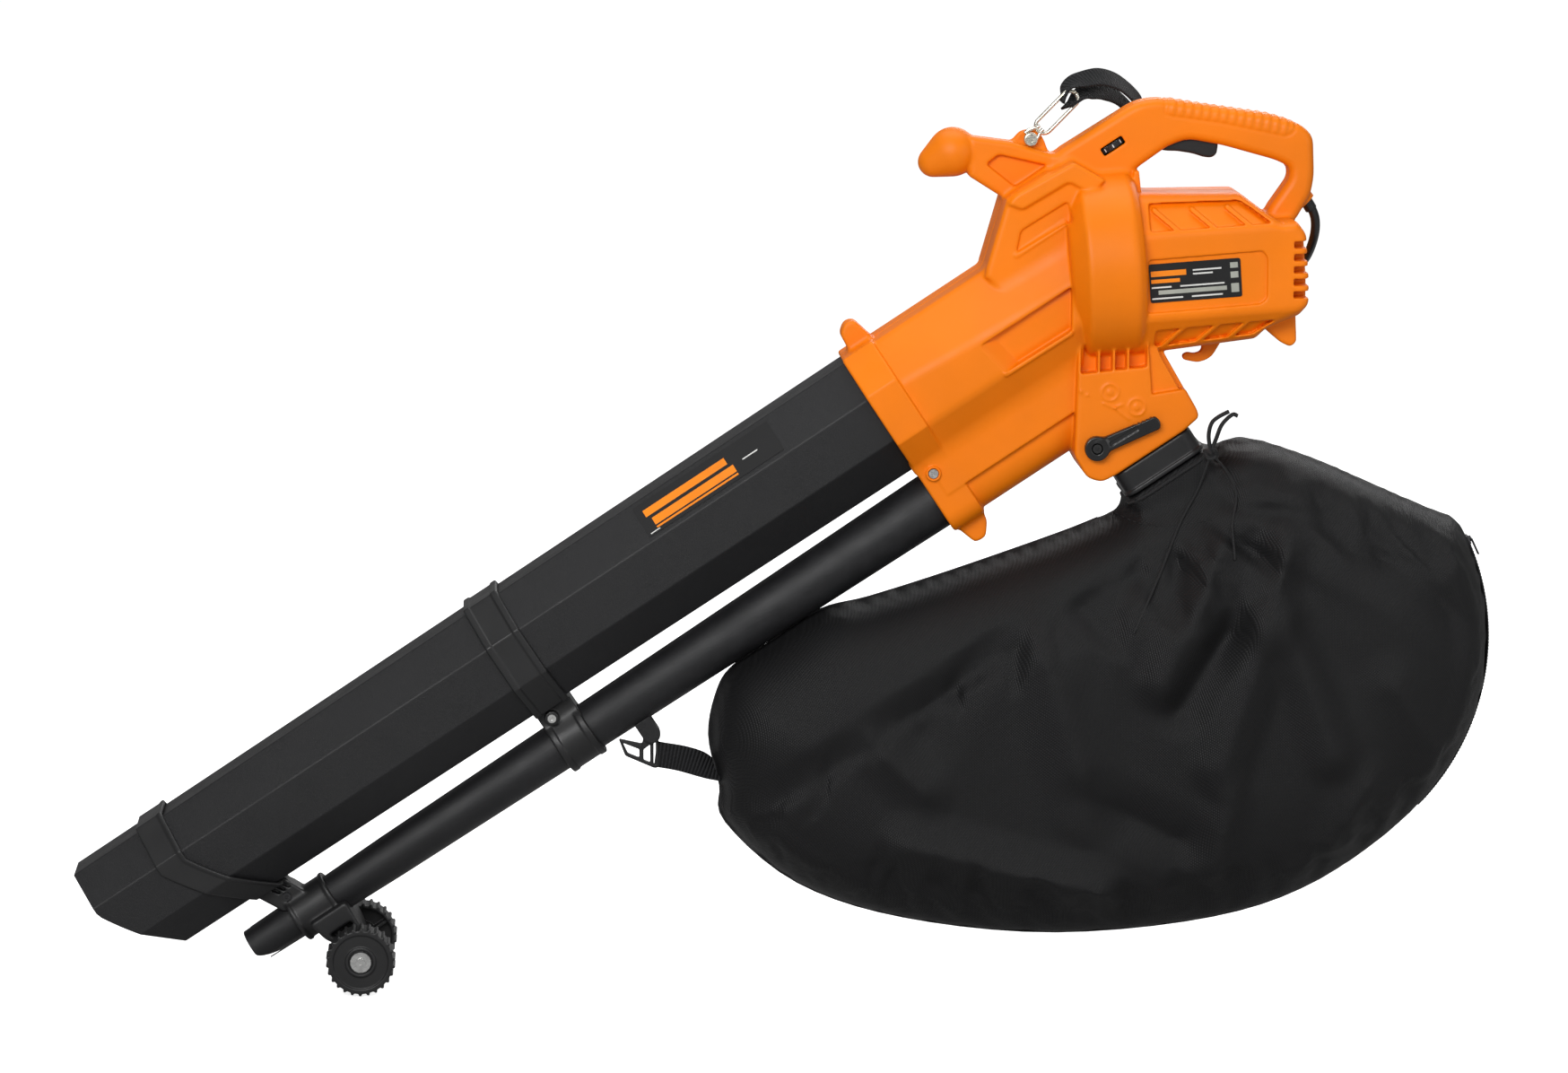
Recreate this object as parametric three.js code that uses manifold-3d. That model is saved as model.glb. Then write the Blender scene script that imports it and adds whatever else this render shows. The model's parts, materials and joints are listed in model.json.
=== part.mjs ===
// Electric leaf blower, vacuum and mulcher with its collecting bag.
// Units are millimetres, +Z is up, -X is forward (towards the nozzle), -Y is the user's left side.
import * as THREE from 'three';
import { mergeVertices } from 'three/addons/utils/BufferGeometryUtils.js';
import Module from 'manifold-3d';

const wasm = await Module();
wasm.setup();

// ---------------------------------------------------------------- driving dimensions
const TUBE_TILT = THREE.MathUtils.degToRad(33.2); // slope of both tubes above the ground
const MOTOR_TILT = THREE.MathUtils.degToRad(4); // slope of the motor and fan axis
const COLLAR_AT = { x: -208.5, z: -134 }; // mouth of the collar, measured from the fan centre
const GAP = 0.3; // running and seating clearance between neighbouring pieces
const WALL = 3; // housing wall thickness

const SUCTION = { mouth: -845, joint: -398, end: 26, halfWidth: 52, facet: 22, topFlat: 26, wall: 2.4 };
const SUCTION_HEIGHT = { mouth: 54, end: 58 }; // half height of the octagonal tube at each end
const BLOWER = { mouth: -752, neck: -600, joint: -398, end: 26, level: -97.5, wall: 2.2 };
const BLOWER_RADIUS = { mouth: 16.5, neck: 20, end: 27.2 };
const NOZZLE_RAKE = 0.74; // how far the nozzle's lower part is cut back, per mm of height
const NOZZLE_KNEE = 12; // height at which that cut starts

const COLLAR = { front: -3, rear: 30, halfWidth: 63, halfHeight: 62, lowerHalfWidth: 35, bottom: -129 };
const FAN_CASE = { front: -40, shoulder: -30, rear: 26, radius: 86, inlet: 46 };
const MOTOR_CASE = { halfWidth: 64, bevel: 14 };
const DUCT = { halfWidth: 58, bevel: 12 };
const HANDLE = { halfWidth: 17 };
const ARM = { halfWidth: 15, pocketDepth: 7 };
const BOX = { halfWidth: 45, bevel: 4 };
const OUTLET = { x: 35.5, z: -166, halfLength: 35, halfWidth: 36, rim: 2.5 };
const BAG_FRAME = { from: 3, to: 27, halfLength: 40.5, halfWidth: 41.5 };
const BAG = { halfWidth: 97, cloth: 2.5, centre: { x: 0, z: -400 } };
const ZIP = { x: 133.9, z: -352.3, radius: 219, from: 29, to: -43, halfWidth: 5, height: 2.5 };

const FLAP_PIVOT = { x: -14.5, z: -163.3 };
const LEVER_ANGLE = THREE.MathUtils.degToRad(23.5);
const FLAP_ANGLE = THREE.MathUtils.degToRad(37);
const TRIGGER_PIVOT = { x: 50, z: 109.5 };
const DIAL = { x: 1.4, y: -4.4, z: 108, radius: 13.4, thickness: 6, tilt: THREE.MathUtils.degToRad(33) };
const STRAP_PIVOT = { x: -72.4, z: 113.6 };
const WHEEL = { t: -670.2, n: -153.1, radius: 32, root: 29.8, teeth: 26, inner: 37, outer: 63, bore: 5.4 };
const AXLE_RADIUS = 5;
const COUPLING = { from: -416, to: -380, skin: 3, screw: { x: -404, z: -68 } };
const BRACKET = { from: -777, to: -747, rake: 0.68, skin: 3, screw: { x: -699, z: -73 } };
const BLOWER_CLAMP = { from: -706, to: -662 };
const BEARING = { front: [22.5, 30.5, 13], rear: [148, 155, 11] }; // from, to, outer radius
const STATOR = { from: 62, to: 118, inner: 27, outer: 45 };
const CABLE_RADIUS = 4;
const CABLE_PATH = [
  [176, 0, 60], [188, 4, 48], [192, 14, 28], [189, 32, 5], [183, 54, -12], [170, 72, -20], [140, 79, -22],
  [110, 80.5, -27], [84, 80.5, -40],
];
const LUG = { t: -338, n: -134, radius: 9.5, inner: 6, outer: 10, peg: 3.6 };

// ---------------------------------------------------------------- finishes
const finish = (color, roughness, metalness = 0) => ({ color, roughness, metalness });
const ORANGE = finish(0xf07800, 0.45);
const BLACK = finish(0x1b1b1c, 0.5);
const BLACK_SOFT = finish(0x161617, 0.8);
const CLOTH = finish(0x111112, 0.95);
const STEEL = finish(0x9a9a98, 0.35, 0.9);
const ZINC = finish(0xb9b5a2, 0.3, 1);
const COPPER = finish(0xb06a3a, 0.4, 0.8);
const LABEL = finish(0x0d0d0e, 0.3);
const BOARD = finish(0x1f5a34, 0.6);
const BRASS = finish(0xb59a4a, 0.35, 0.9);

// ---------------------------------------------------------------- solids
const vec = (x, y, z) => new THREE.Vector3(x, y, z);

// Closed geometry to a solid for joining and cutting.
function solid(geometry) {
  const bare = geometry.clone();
  bare.deleteAttribute('normal');
  bare.deleteAttribute('uv');
  const merged = mergeVertices(bare, 1e-3);
  const corners = merged.index.array;
  const kept = [];
  for (let i = 0; i < corners.length; i += 3) {
    const [a, b, c] = [corners[i], corners[i + 1], corners[i + 2]];
    if (a !== b && b !== c && c !== a) kept.push(a, b, c);
  }
  const mesh = new wasm.Mesh({
    numProp: 3,
    vertProperties: new Float32Array(merged.attributes.position.array),
    triVerts: new Uint32Array(kept),
  });
  return new wasm.Manifold(mesh);
}

function geometryOf(body) {
  const mesh = body.getMesh();
  const geometry = new THREE.BufferGeometry();
  geometry.setAttribute('position', new THREE.BufferAttribute(mesh.vertProperties, 3));
  geometry.setIndex(new THREE.BufferAttribute(mesh.triVerts, 1));
  geometry.computeVertexNormals();
  return geometry;
}

const join = (...bodies) => bodies.reduce((sum, body) => sum.add(body));
const cut = (body, ...tools) => tools.reduce((rest, tool) => rest.subtract(tool), body);

// Corner list [x, z, radius] to points, each corner with a radius turned into a short arc.
function roundCorners(corners, radius = 0, steps = 2) {
  const points = [];
  corners.forEach(([x, z, own = radius], i) => {
    const here = new THREE.Vector2(x, z);
    if (own === 0) {
      points.push(here);
      return;
    }
    const before = new THREE.Vector2(...corners.at(i - 1).slice(0, 2));
    const after = new THREE.Vector2(...corners[(i + 1) % corners.length].slice(0, 2));
    const reach = Math.min(own, before.distanceTo(here) * 0.48, after.distanceTo(here) * 0.48);
    const start = here.clone().lerp(before, reach / before.distanceTo(here));
    const end = here.clone().lerp(after, reach / after.distanceTo(here));
    const bend = new THREE.QuadraticBezierCurve(start, here, end);
    points.push(...bend.getPoints(steps));
  });
  return points;
}

// The same outline moved inwards by a wall thickness.
function inset(corners, distance) {
  const points = corners.map(([x, z]) => new THREE.Vector2(x, z));
  const turn = Math.sign(THREE.ShapeUtils.area(points));
  return points.map((here, i) => {
    const before = points.at(i - 1);
    const after = points[(i + 1) % points.length];
    const inward = (a, b) => new THREE.Vector2(-(b.y - a.y), b.x - a.x).normalize().multiplyScalar(turn);
    const [n1, n2] = [inward(before, here), inward(here, after)];
    const mitre = n1.clone().add(n2).normalize();
    const move = distance / Math.max(mitre.dot(n1), 0.35);
    return [here.x + mitre.x * move, here.y + mitre.y * move];
  });
}

// Outline in the XZ plane extruded along Y, with an optional chamfer on both faces.
function slab(points, yFrom, yTo, chamfer = 0) {
  const shape = new THREE.Shape(points);
  const geometry = new THREE.ExtrudeGeometry(shape, {
    depth: yTo - yFrom - 2 * chamfer,
    bevelEnabled: chamfer > 0,
    bevelThickness: chamfer,
    bevelSize: chamfer,
    bevelOffset: -chamfer,
    bevelSegments: 1,
  });
  return geometry.rotateX(Math.PI / 2).translate(0, yTo - chamfer, 0);
}

// Outline in the YZ plane extruded along X.
function bar(points, xFrom, xTo) {
  const shape = new THREE.Shape(points);
  const geometry = new THREE.ExtrudeGeometry(shape, { depth: xTo - xFrom, bevelEnabled: false });
  const turn = new THREE.Matrix4().makeBasis(vec(0, 1, 0), vec(0, 0, 1), vec(1, 0, 0));
  return geometry.applyMatrix4(turn).translate(xFrom, 0, 0);
}

// Outline in the XY plane extruded along Z.
const plate = (points, zFrom, zTo) => new THREE.ExtrudeGeometry(new THREE.Shape(points), {
  depth: zTo - zFrom,
  bevelEnabled: false,
}).translate(0, 0, zFrom);

const box = (w, d, h, x = 0, y = 0, z = 0) => new THREE.BoxGeometry(w, d, h).translate(x, y, z);

// Cylinders named by the axis they run along.
function rodY(radius, yFrom, yTo, x = 0, z = 0, sides = 16) {
  return new THREE.CylinderGeometry(radius, radius, yTo - yFrom, sides).translate(x, (yFrom + yTo) / 2, z);
}
function rodX(radius, xFrom, xTo, y = 0, z = 0, sides = 20) {
  const rod = new THREE.CylinderGeometry(radius, radius, xTo - xFrom, sides).rotateZ(-Math.PI / 2);
  return rod.translate((xFrom + xTo) / 2, y, z);
}

// Profile of [x, radius] turned round the X axis; it starts and ends on the axis.
function turnedX(profile, sides = 20) {
  const points = profile.map(([x, r]) => new THREE.Vector2(r, x));
  return new THREE.LatheGeometry(points, sides).rotateZ(-Math.PI / 2);
}
// Ring with a rectangular section round the X axis.
function ringX(inner, outer, xFrom, xTo, sides = 16) {
  const section = [[inner, xFrom], [outer, xFrom], [outer, xTo], [inner, xTo], [inner, xFrom]];
  const points = section.map(([r, x]) => new THREE.Vector2(r, x));
  return new THREE.LatheGeometry(points, sides).rotateZ(-Math.PI / 2);
}

// Skin over equal rings of points, closed by a fan at each end.
function loft(rings) {
  const count = rings[0].length;
  const corners = rings.flat().concat([0, rings.length - 1].map((i) => {
    return rings[i].reduce((sum, p) => sum.add(p), vec(0, 0, 0)).divideScalar(count);
  }));
  const index = [];
  for (let i = 0; i + 1 < rings.length; i += 1) {
    for (let j = 0; j < count; j += 1) {
      const k = (j + 1) % count;
      const [a, b, c, d] = [i * count + j, i * count + k, (i + 1) * count + j, (i + 1) * count + k];
      index.push(a, b, c, b, d, c);
    }
  }
  const [first, last] = [rings.length * count, rings.length * count + 1];
  for (let j = 0; j < count; j += 1) {
    const k = (j + 1) % count;
    index.push(first, k, j);
    index.push(last, (rings.length - 1) * count + j, (rings.length - 1) * count + k);
  }
  const geometry = new THREE.BufferGeometry().setFromPoints(corners);
  geometry.setIndex(signedVolume(corners, index) < 0 ? index.reverse() : index);
  return geometry;
}

function signedVolume(corners, index) {
  let volume = 0;
  for (let i = 0; i < index.length; i += 3) {
    const [a, b, c] = [corners[index[i]], corners[index[i + 1]], corners[index[i + 2]]];
    volume += a.dot(b.clone().cross(c)) / 6;
  }
  return volume;
}

// Rings across the tubes: t runs up the tube, n stands square to it.
function octagonRing(t, halfWidth, halfHeight, facet = SUCTION.facet, topFlat = SUCTION.topFlat, rake = 0) {
  const half = [[halfWidth, -facet], [halfWidth, facet], [topFlat, halfHeight]];
  const corners = [...half, [-topFlat, halfHeight], [-halfWidth, facet], [-halfWidth, -facet]];
  corners.push([-topFlat, -halfHeight], [topFlat, -halfHeight]);
  return corners.map(([y, n]) => vec(t + rake * Math.max(0, NOZZLE_KNEE - n), y, n));
}
function circleRing(t, radius, level, sides = 16) {
  return Array.from({ length: sides }, (_, i) => {
    const angle = (i / sides) * 2 * Math.PI;
    return vec(t, radius * Math.cos(angle), level + radius * Math.sin(angle));
  });
}
const roundedBox = (a, b, r) => roundCorners([[-a, -b], [a, -b], [a, b], [-a, b]], r);

// ---------------------------------------------------------------- frames of reference
const tubeFrame = new THREE.Matrix4().makeRotationY(-TUBE_TILT).setPosition(COLLAR_AT.x, 0, COLLAR_AT.z);
const motorFrame = new THREE.Matrix4().makeRotationY(-MOTOR_TILT);
const outletFrame = new THREE.Matrix4().makeRotationY(-TUBE_TILT).setPosition(OUTLET.x, 0, OUTLET.z);
const inTube = (geometry) => solid(geometry.applyMatrix4(tubeFrame));
const inMotor = (geometry) => solid(geometry.applyMatrix4(motorFrame));
const inOutlet = (geometry) => solid(geometry.applyMatrix4(outletFrame));

const head = new THREE.Group(); // origin on the fan centre
const tubes = new THREE.Group(); // origin on the collar mouth, local X runs up the tubes
tubes.position.set(COLLAR_AT.x, 0, COLLAR_AT.z);
tubes.rotation.y = -TUBE_TILT;
const motor = new THREE.Group(); // local X is the motor axis
motor.rotation.y = -MOTOR_TILT;
const outlet = new THREE.Group(); // local -Z leads out of the diverter box into the bag
outlet.position.set(OUTLET.x, 0, OUTLET.z);
outlet.rotation.y = -TUBE_TILT;
head.add(tubes, motor, outlet);

function piece(group, name, shape, look, place = {}) {
  const geometry = shape.isBufferGeometry ? shape : geometryOf(shape);
  const mesh = new THREE.Mesh(geometry, new THREE.MeshStandardMaterial(look));
  mesh.name = name;
  mesh.position.set(place.x ?? 0, place.y ?? 0, place.z ?? 0);
  mesh.rotation.set(place.turnX ?? 0, place.turnY ?? 0, place.turnZ ?? 0);
  group.add(mesh);
  return mesh;
}

// ---------------------------------------------------------------- housing outlines, side view
const ductOutline = [[-217, -73], [-115, -2], [-97, 62], [-60, 88], [-30, 80], [-30, -172], [-117, -226]];
const motorOutline = [
  [20, 66], [117, 66], [137, 50], [149, 41], [164, 43], [172, 31], [175, -12], [175, -32], [168, -43],
  [140, -56], [131, -66], [20, -82],
];
const footOutline = [[132, -50], [139, -56], [155, -71], [165, -75], [170, -72], [169, -38], [132, -38]];
const handleOuter = [
  [-48, 103], [23, 147, 8], [44, 151, 8], [90, 143], [145, 135], [174, 127, 8], [185, 116, 6], [186, 78],
  [183, 63], [170, 42], [158, 36],
];
const handleInner = [
  [144, 50], [158, 70, 6], [163, 78, 4], [163, 88, 4], [151, 94], [103, 107], [69, 114, 6], [51, 106],
];
const handleFoot = [[22, 86], [14, 58], [-48, 58]];
const handleOutline = roundCorners([...handleOuter, ...handleInner, ...handleFoot]);
const armOutline = [[-127, 117], [-90, 112], [-54, 101], [-34, 98], [-34, 58], [-96, 60], [-129, 82]];
const armPocket = [[-113, 92], [-102, 100], [-60, 91], [-86, 71]];
const lugOutline = [[-96, 104], [-80, 121, 5], [-66, 122, 5], [-61, 113], [-56, 98]];
const boxOutline = [
  [-31, -60], [-34, -173], [-22, -192], [-8, -195], [79, -138], [78, -130], [68, -113], [50, -82], [36, -60],
];
const hookOutline = [
  [88, -66], [104, -64], [106, -71], [96, -88], [84, -92], [70, -89], [69, -84], [74, -82], [80, -83.5],
  [87, -81], [87, -75],
];

// ---------------------------------------------------------------- housing
function fanCase(radius, front, shoulder, rear) {
  const profile = [[front, 0], [front, radius - 14], [shoulder, radius], [rear, radius], [rear, 0]];
  return inMotor(turnedX(profile, 24));
}

function collarBody() {
  const corners = octagonRing(0, COLLAR.halfWidth, COLLAR.halfHeight, 26, 32);
  const ring = corners.map((p) => new THREE.Vector2(p.y, p.z));
  const lower = roundCorners([
    [-COLLAR.lowerHalfWidth, COLLAR.bottom, 20], [COLLAR.lowerHalfWidth, COLLAR.bottom, 20],
    [COLLAR.lowerHalfWidth, -40], [-COLLAR.lowerHalfWidth, -40],
  ]);
  const topTab = [[7, 55], [9, 80], [17, 86], [25, 84], [30, 55]];
  const lowerTab = [[-2, -120], [7, -149], [17, -150], [27, -138], [29, -120]];
  return join(
    inTube(bar(ring, COLLAR.front, COLLAR.rear)),
    inTube(bar(lower, COLLAR.front, COLLAR.rear)),
    inTube(slab(roundCorners(topTab), -12, 12)),
    inTube(slab(roundCorners(lowerTab), -12, 12)),
  );
}

function knobBody() {
  const profile = [[0, 0], [2, 14], [12, 22], [30, 20], [47, 12], [56, 0]];
  const knob = turnedX(profile, 10);
  return solid(knob.rotateY(Math.PI - 0.2).translate(-118, 0, 103));
}

const motorBlock = () => {
  return solid(slab(roundCorners(motorOutline), -MOTOR_CASE.halfWidth, MOTOR_CASE.halfWidth, MOTOR_CASE.bevel));
};

function housingOutside() {
  return join(
    solid(slab(roundCorners(ductOutline), -DUCT.halfWidth, DUCT.halfWidth, DUCT.bevel)),
    collarBody(),
    fanCase(FAN_CASE.radius, FAN_CASE.front, FAN_CASE.shoulder, FAN_CASE.rear),
    motorBlock(),
    solid(slab(roundCorners(footOutline), -24, 24)),
    solid(slab(handleOutline, -HANDLE.halfWidth, HANDLE.halfWidth)),
    solid(slab(roundCorners(armOutline), -ARM.halfWidth, ARM.halfWidth)),
    knobBody(),
    solid(slab(roundCorners(lugOutline), -5, 5)),
    solid(slab(roundCorners(boxOutline), -BOX.halfWidth, BOX.halfWidth, BOX.bevel)),
    inOutlet(plate(roundedBox(OUTLET.halfLength + 2.5, OUTLET.halfWidth + 2.5, 10), -OUTLET.rim, 4)),
    solid(slab(roundCorners(hookOutline), 1, 9)),
  );
}

function housingInside() {
  const suctionBore = loft([-10, SUCTION.end + 1].map((t) => {
    return octagonRing(t, SUCTION.halfWidth + GAP, SUCTION_HEIGHT.end + 2 * GAP);
  }));
  const intakeFrom = octagonRing(SUCTION.end, SUCTION.halfWidth - 2, SUCTION_HEIGHT.end - 6);
  const intakeTo = intakeFrom.map((p) => {
    const angle = Math.atan2(p.z, p.y);
    return vec(-36, FAN_CASE.inlet * Math.cos(angle), FAN_CASE.inlet * Math.sin(angle));
  });
  const intake = loft([intakeFrom.map((p) => p.clone().applyMatrix4(tubeFrame)), intakeTo]);
  const blowerRing = (t, radius) => circleRing(t, radius, BLOWER.level);
  const blowerBore = loft([-10, BLOWER.end + 1].map((t) => blowerRing(t, BLOWER_RADIUS.end + GAP)));
  const blowerDuct = loft([BLOWER.end, 168].map((t) => blowerRing(t, 24.5)));
  const handleHollow = solid(slab(roundCorners(inset(handleOutline.map((p) => [p.x, p.y]), WALL)), -14, 14));
  return [
    inTube(suctionBore),
    solid(intake),
    inTube(blowerBore),
    inTube(blowerDuct),
    inMotor(rodX(FAN_CASE.inlet, -42, -25)),
    inMotor(rodX(FAN_CASE.radius - 5, -29, 22, 0, 0, 24)),
    motorHollow(),
    solid(slab(roundCorners(inset(boxOutline, WALL)), WALL - BOX.halfWidth, BOX.halfWidth - WALL)),
    inOutlet(plate(roundedBox(OUTLET.halfLength, OUTLET.halfWidth, 9), -6, 12)),
    cut(handleHollow, fanCase(FAN_CASE.radius, -45, -44, FAN_CASE.rear), motorBlock()),
  ];
}

// Room for the motor, with cross walls left standing that hold the bearings and the stator.
function motorHollow() {
  const reach = MOTOR_CASE.halfWidth - WALL;
  const wall = (from, to, height) => inMotor(box(to - from, 2 * reach + 2, height, (from + to) / 2, 0, 0));
  const [frontFrom, frontTo, frontRadius] = BEARING.front;
  const [rearFrom, rearTo, rearRadius] = BEARING.rear;
  const seats = cut(
    join(
      wall(frontFrom - 8, frontTo - 3, 200),
      wall(rearFrom, rearTo, 30),
      wall(STATOR.from + 6, STATOR.from + 12, 26),
      wall(STATOR.to - 12, STATOR.to - 6, 26),
    ),
    inMotor(rodX(STATOR.outer + GAP, STATOR.from - 5, STATOR.to + 5, 0, 0, 24)),
    inMotor(rodX(rearRadius + GAP, rearFrom - 5, rearTo + 5, 0, 0, 16)),
  );
  const hollow = solid(slab(roundCorners(inset(motorOutline, WALL)), -reach, reach, MOTOR_CASE.bevel - 1));
  return join(cut(hollow, seats), inMotor(rodX(frontRadius + GAP, frontFrom - 8, frontTo + 4, 0, 0, 16)));
}

// Slots and pockets in the outer surface.
function housingOpenings() {
  const tools = [];
  [-1, 1].forEach((side) => {
    const floor = ARM.halfWidth - ARM.pocketDepth;
    const [from, to] = side < 0 ? [-30, -floor] : [floor, 30];
    tools.push(solid(slab(roundCorners(armPocket), from, to)));
    for (let i = 0; i < 5; i += 1) tools.push(solid(box(30, 44, 5, 168, side * 62, 24 - 12 * i)));
  });
  const triggerSlot = [[44, 96], [45, 115], [104, 122], [104, 98]];
  tools.push(solid(slab(roundCorners(triggerSlot), -8, 8)));
  tools.push(solid(rodY(2.3, -13.8, 13.8, TRIGGER_PIVOT.x, TRIGGER_PIVOT.z, 12)));
  tools.push(solid(box(22.5, 12, 7.4).rotateY(-DIAL.tilt).translate(DIAL.x, -HANDLE.halfWidth, DIAL.z)));
  tools.push(solid(rodY(5.5, -60, 60, FLAP_PIVOT.x, FLAP_PIVOT.z)));
  tools.push(solid(rodY(2.8, -20, 20, STRAP_PIVOT.x, STRAP_PIVOT.z)));
  tools.push(solid(cord(CABLE_PATH.map((p) => vec(...p)), CABLE_RADIUS + 0.5, 20)));
  const { x, z } = vec(10, 0, -70).applyMatrix4(tubeFrame);
  tools.push(solid(rodY(2.2, -COLLAR.lowerHalfWidth - 2, -COLLAR.lowerHalfWidth + 8, x, z, 8)));
  return tools;
}

// Screws that hold the right half to the left half: [x, z] and the depth of the head.
const housingScrews = [[-108, 88, 9], [30, 132, 9], [176, 98, 9], [-83, -141, 42], [160, -60, 16]];
const HOUSING_SHANK = 15;
const BOSS_RADIUS = 6;

function housing() {
  const shell = cut(housingOutside(), ...housingInside());
  const bosses = housingScrews.slice(1, 3).map(([x, z]) => solid(rodY(BOSS_RADIUS, -15, 15, x, z, 12)));
  const drills = housingScrews.flatMap(([x, z, depth]) => [
    solid(rodY(2.3, depth - HOUSING_SHANK - 3, depth + 2, x, z, 8)),
    solid(rodY(4.4, depth, 90, x, z, 10)),
  ]);
  return cut(join(shell, ...bosses), ...housingOpenings(), ...drills);
}

function addHousing() {
  const whole = housing();
  const leftHalf = solid(box(600, 200, 700, 0, -100 - GAP / 2, 0));
  const rightHalf = solid(box(600, 200, 700, 0, 100 + GAP / 2, 0));
  piece(head, 'housing_left', whole.intersect(leftHalf), ORANGE);
  piece(head, 'housing_right', whole.intersect(rightHalf), ORANGE);
  housingScrews.forEach(([x, z, depth], i) => {
    const place = { x, y: depth + GAP, z, turnX: Math.PI };
    piece(head, `housing_screw_${i + 1}`, screwBody(3.8, 2.8, 1.9, HOUSING_SHANK), STEEL, place);
  });
}

// Pan head screw along Y: the head stands on the -Y side, the shank runs to +Y.
function screwBody(headRadius, headHeight, shankRadius, shankLength) {
  const driver = new THREE.CylinderGeometry(headRadius * 0.45, headRadius * 0.45, 2, 6);
  return cut(
    join(
      solid(rodY(headRadius, -headHeight, 0, 0, 0, 10)),
      solid(rodY(shankRadius, -0.5, shankLength, 0, 0, 8)),
    ),
    solid(driver.translate(0, -headHeight, 0)),
  );
}

// ---------------------------------------------------------------- tubes
const heightAt = (t) => THREE.MathUtils.mapLinear(
  t, SUCTION.mouth, SUCTION.end, SUCTION_HEIGHT.mouth, SUCTION_HEIGHT.end,
);
const suctionSkin = (from, to, inward, rake = 0) => {
  const ring = (t, lean) => octagonRing(t, SUCTION.halfWidth - inward, heightAt(t) - inward,
    SUCTION.facet - inward * 0.4, SUCTION.topFlat - inward * 0.4, lean);
  return solid(loft([ring(from, rake), ring(to, 0)]));
};
const blowerSkin = (stations, inward) => {
  return solid(loft(stations.map(([t, radius]) => circleRing(t, radius - inward, BLOWER.level))));
};
const blowerRadiusAt = (t) => THREE.MathUtils.mapLinear(
  t, BLOWER.neck, BLOWER.end, BLOWER_RADIUS.neck, BLOWER_RADIUS.end,
);

function addSuctionTubes() {
  const half = GAP / 2;
  const upper = suctionSkin(SUCTION.joint + half, SUCTION.end, 0)
    .subtract(suctionSkin(SUCTION.joint - 5, SUCTION.end + 5, SUCTION.wall));
  const lower = suctionSkin(SUCTION.mouth, SUCTION.joint - half, 0, NOZZLE_RAKE)
    .subtract(suctionSkin(SUCTION.mouth - 60, SUCTION.joint + 5, SUCTION.wall));
  piece(tubes, 'suction_tube_upper', upper, BLACK);
  piece(tubes, 'suction_tube_lower', lower, BLACK);
}

function addBlowerTubes() {
  const half = GAP / 2;
  const jointRadius = blowerRadiusAt(BLOWER.joint);
  const upperOutside = [[BLOWER.joint + half, jointRadius], [BLOWER.end, BLOWER_RADIUS.end]];
  const upperInside = [[BLOWER.joint - 5, jointRadius], [BLOWER.end + 5, BLOWER_RADIUS.end]];
  const neck = [BLOWER.neck, BLOWER_RADIUS.neck];
  const lowerOutside = [[BLOWER.mouth, BLOWER_RADIUS.mouth], neck, [BLOWER.joint - half, jointRadius]];
  const lowerInside = [[BLOWER.mouth - 5, BLOWER_RADIUS.mouth], neck, [BLOWER.joint + 5, jointRadius]];
  const mouthCut = [[-770, -130], [-724, -130], [-724, -113], [-752, -98], [-758, -80], [-770, -80]];
  const lower = cut(
    blowerSkin(lowerOutside, 0),
    blowerSkin(lowerInside, BLOWER.wall),
    solid(slab(roundCorners(mouthCut), -40, 40)),
  );
  piece(tubes, 'blower_tube_lower', lower, BLACK);
  const bore = blowerSkin(upperInside, BLOWER.wall);
  const upper = cut(join(blowerSkin(upperOutside, 0), strapLug()), bore);
  piece(tubes, 'blower_tube_upper', upper, BLACK);
}

// Fork with a cross peg under the blower tube; the bag's hook hangs on the peg.
function strapLug() {
  const cheek = (from, to) => join(
    solid(rodY(LUG.radius, from, to, LUG.t, LUG.n, 16)),
    solid(box(2 * LUG.radius, to - from, 14, LUG.t, (from + to) / 2, LUG.n + 9)),
  );
  return join(
    cheek(-LUG.outer, -LUG.inner),
    cheek(LUG.inner, LUG.outer),
    solid(rodY(LUG.peg, -LUG.outer + 1, LUG.outer - 1, LUG.t, LUG.n, 12)),
  );
}

// Band that holds both tubes together at their joints.
function addCoupling() {
  const { from, to, skin, screw } = COUPLING;
  const height = heightAt(to) + GAP;
  const width = SUCTION.halfWidth + GAP;
  const blower = blowerRadiusAt(to) + GAP;
  const corners = (w, h, f, flat) => octagonRing(0, w, h, f, flat).map((p) => new THREE.Vector2(p.y, p.z));
  const web = [[-16, -54], [-16, -90], [16, -90], [16, -54]];
  const body = cut(
    join(
      solid(bar(corners(width + skin, height + skin, SUCTION.facet + 1, SUCTION.topFlat + 1), from, to)),
      solid(rodX(blower + skin, from, to, 0, BLOWER.level)),
      solid(bar(roundCorners(web), from, to)),
      solid(rodY(6, -23, -14, screw.x, screw.z, 12)),
    ),
    solid(bar(corners(width, height, SUCTION.facet + GAP, SUCTION.topFlat + GAP), from - 5, to + 5)),
    solid(rodX(blower, from - 5, to + 5, 0, BLOWER.level)),
    solid(rodY(2.2, -30, -1, screw.x, screw.z, 12)),
  );
  piece(tubes, 'tube_coupling', body, BLACK);
  piece(tubes, 'coupling_screw', screwBody(4, 2.6, 1.9, 16), STEEL, { ...screw, y: -23 - GAP });
}

function addCollarScrew() {
  const seat = -COLLAR.lowerHalfWidth - GAP;
  piece(tubes, 'collar_screw', screwBody(4.4, 2.8, 1.9, 6), STEEL, { x: 10, y: seat, z: -70 });
}

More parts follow.
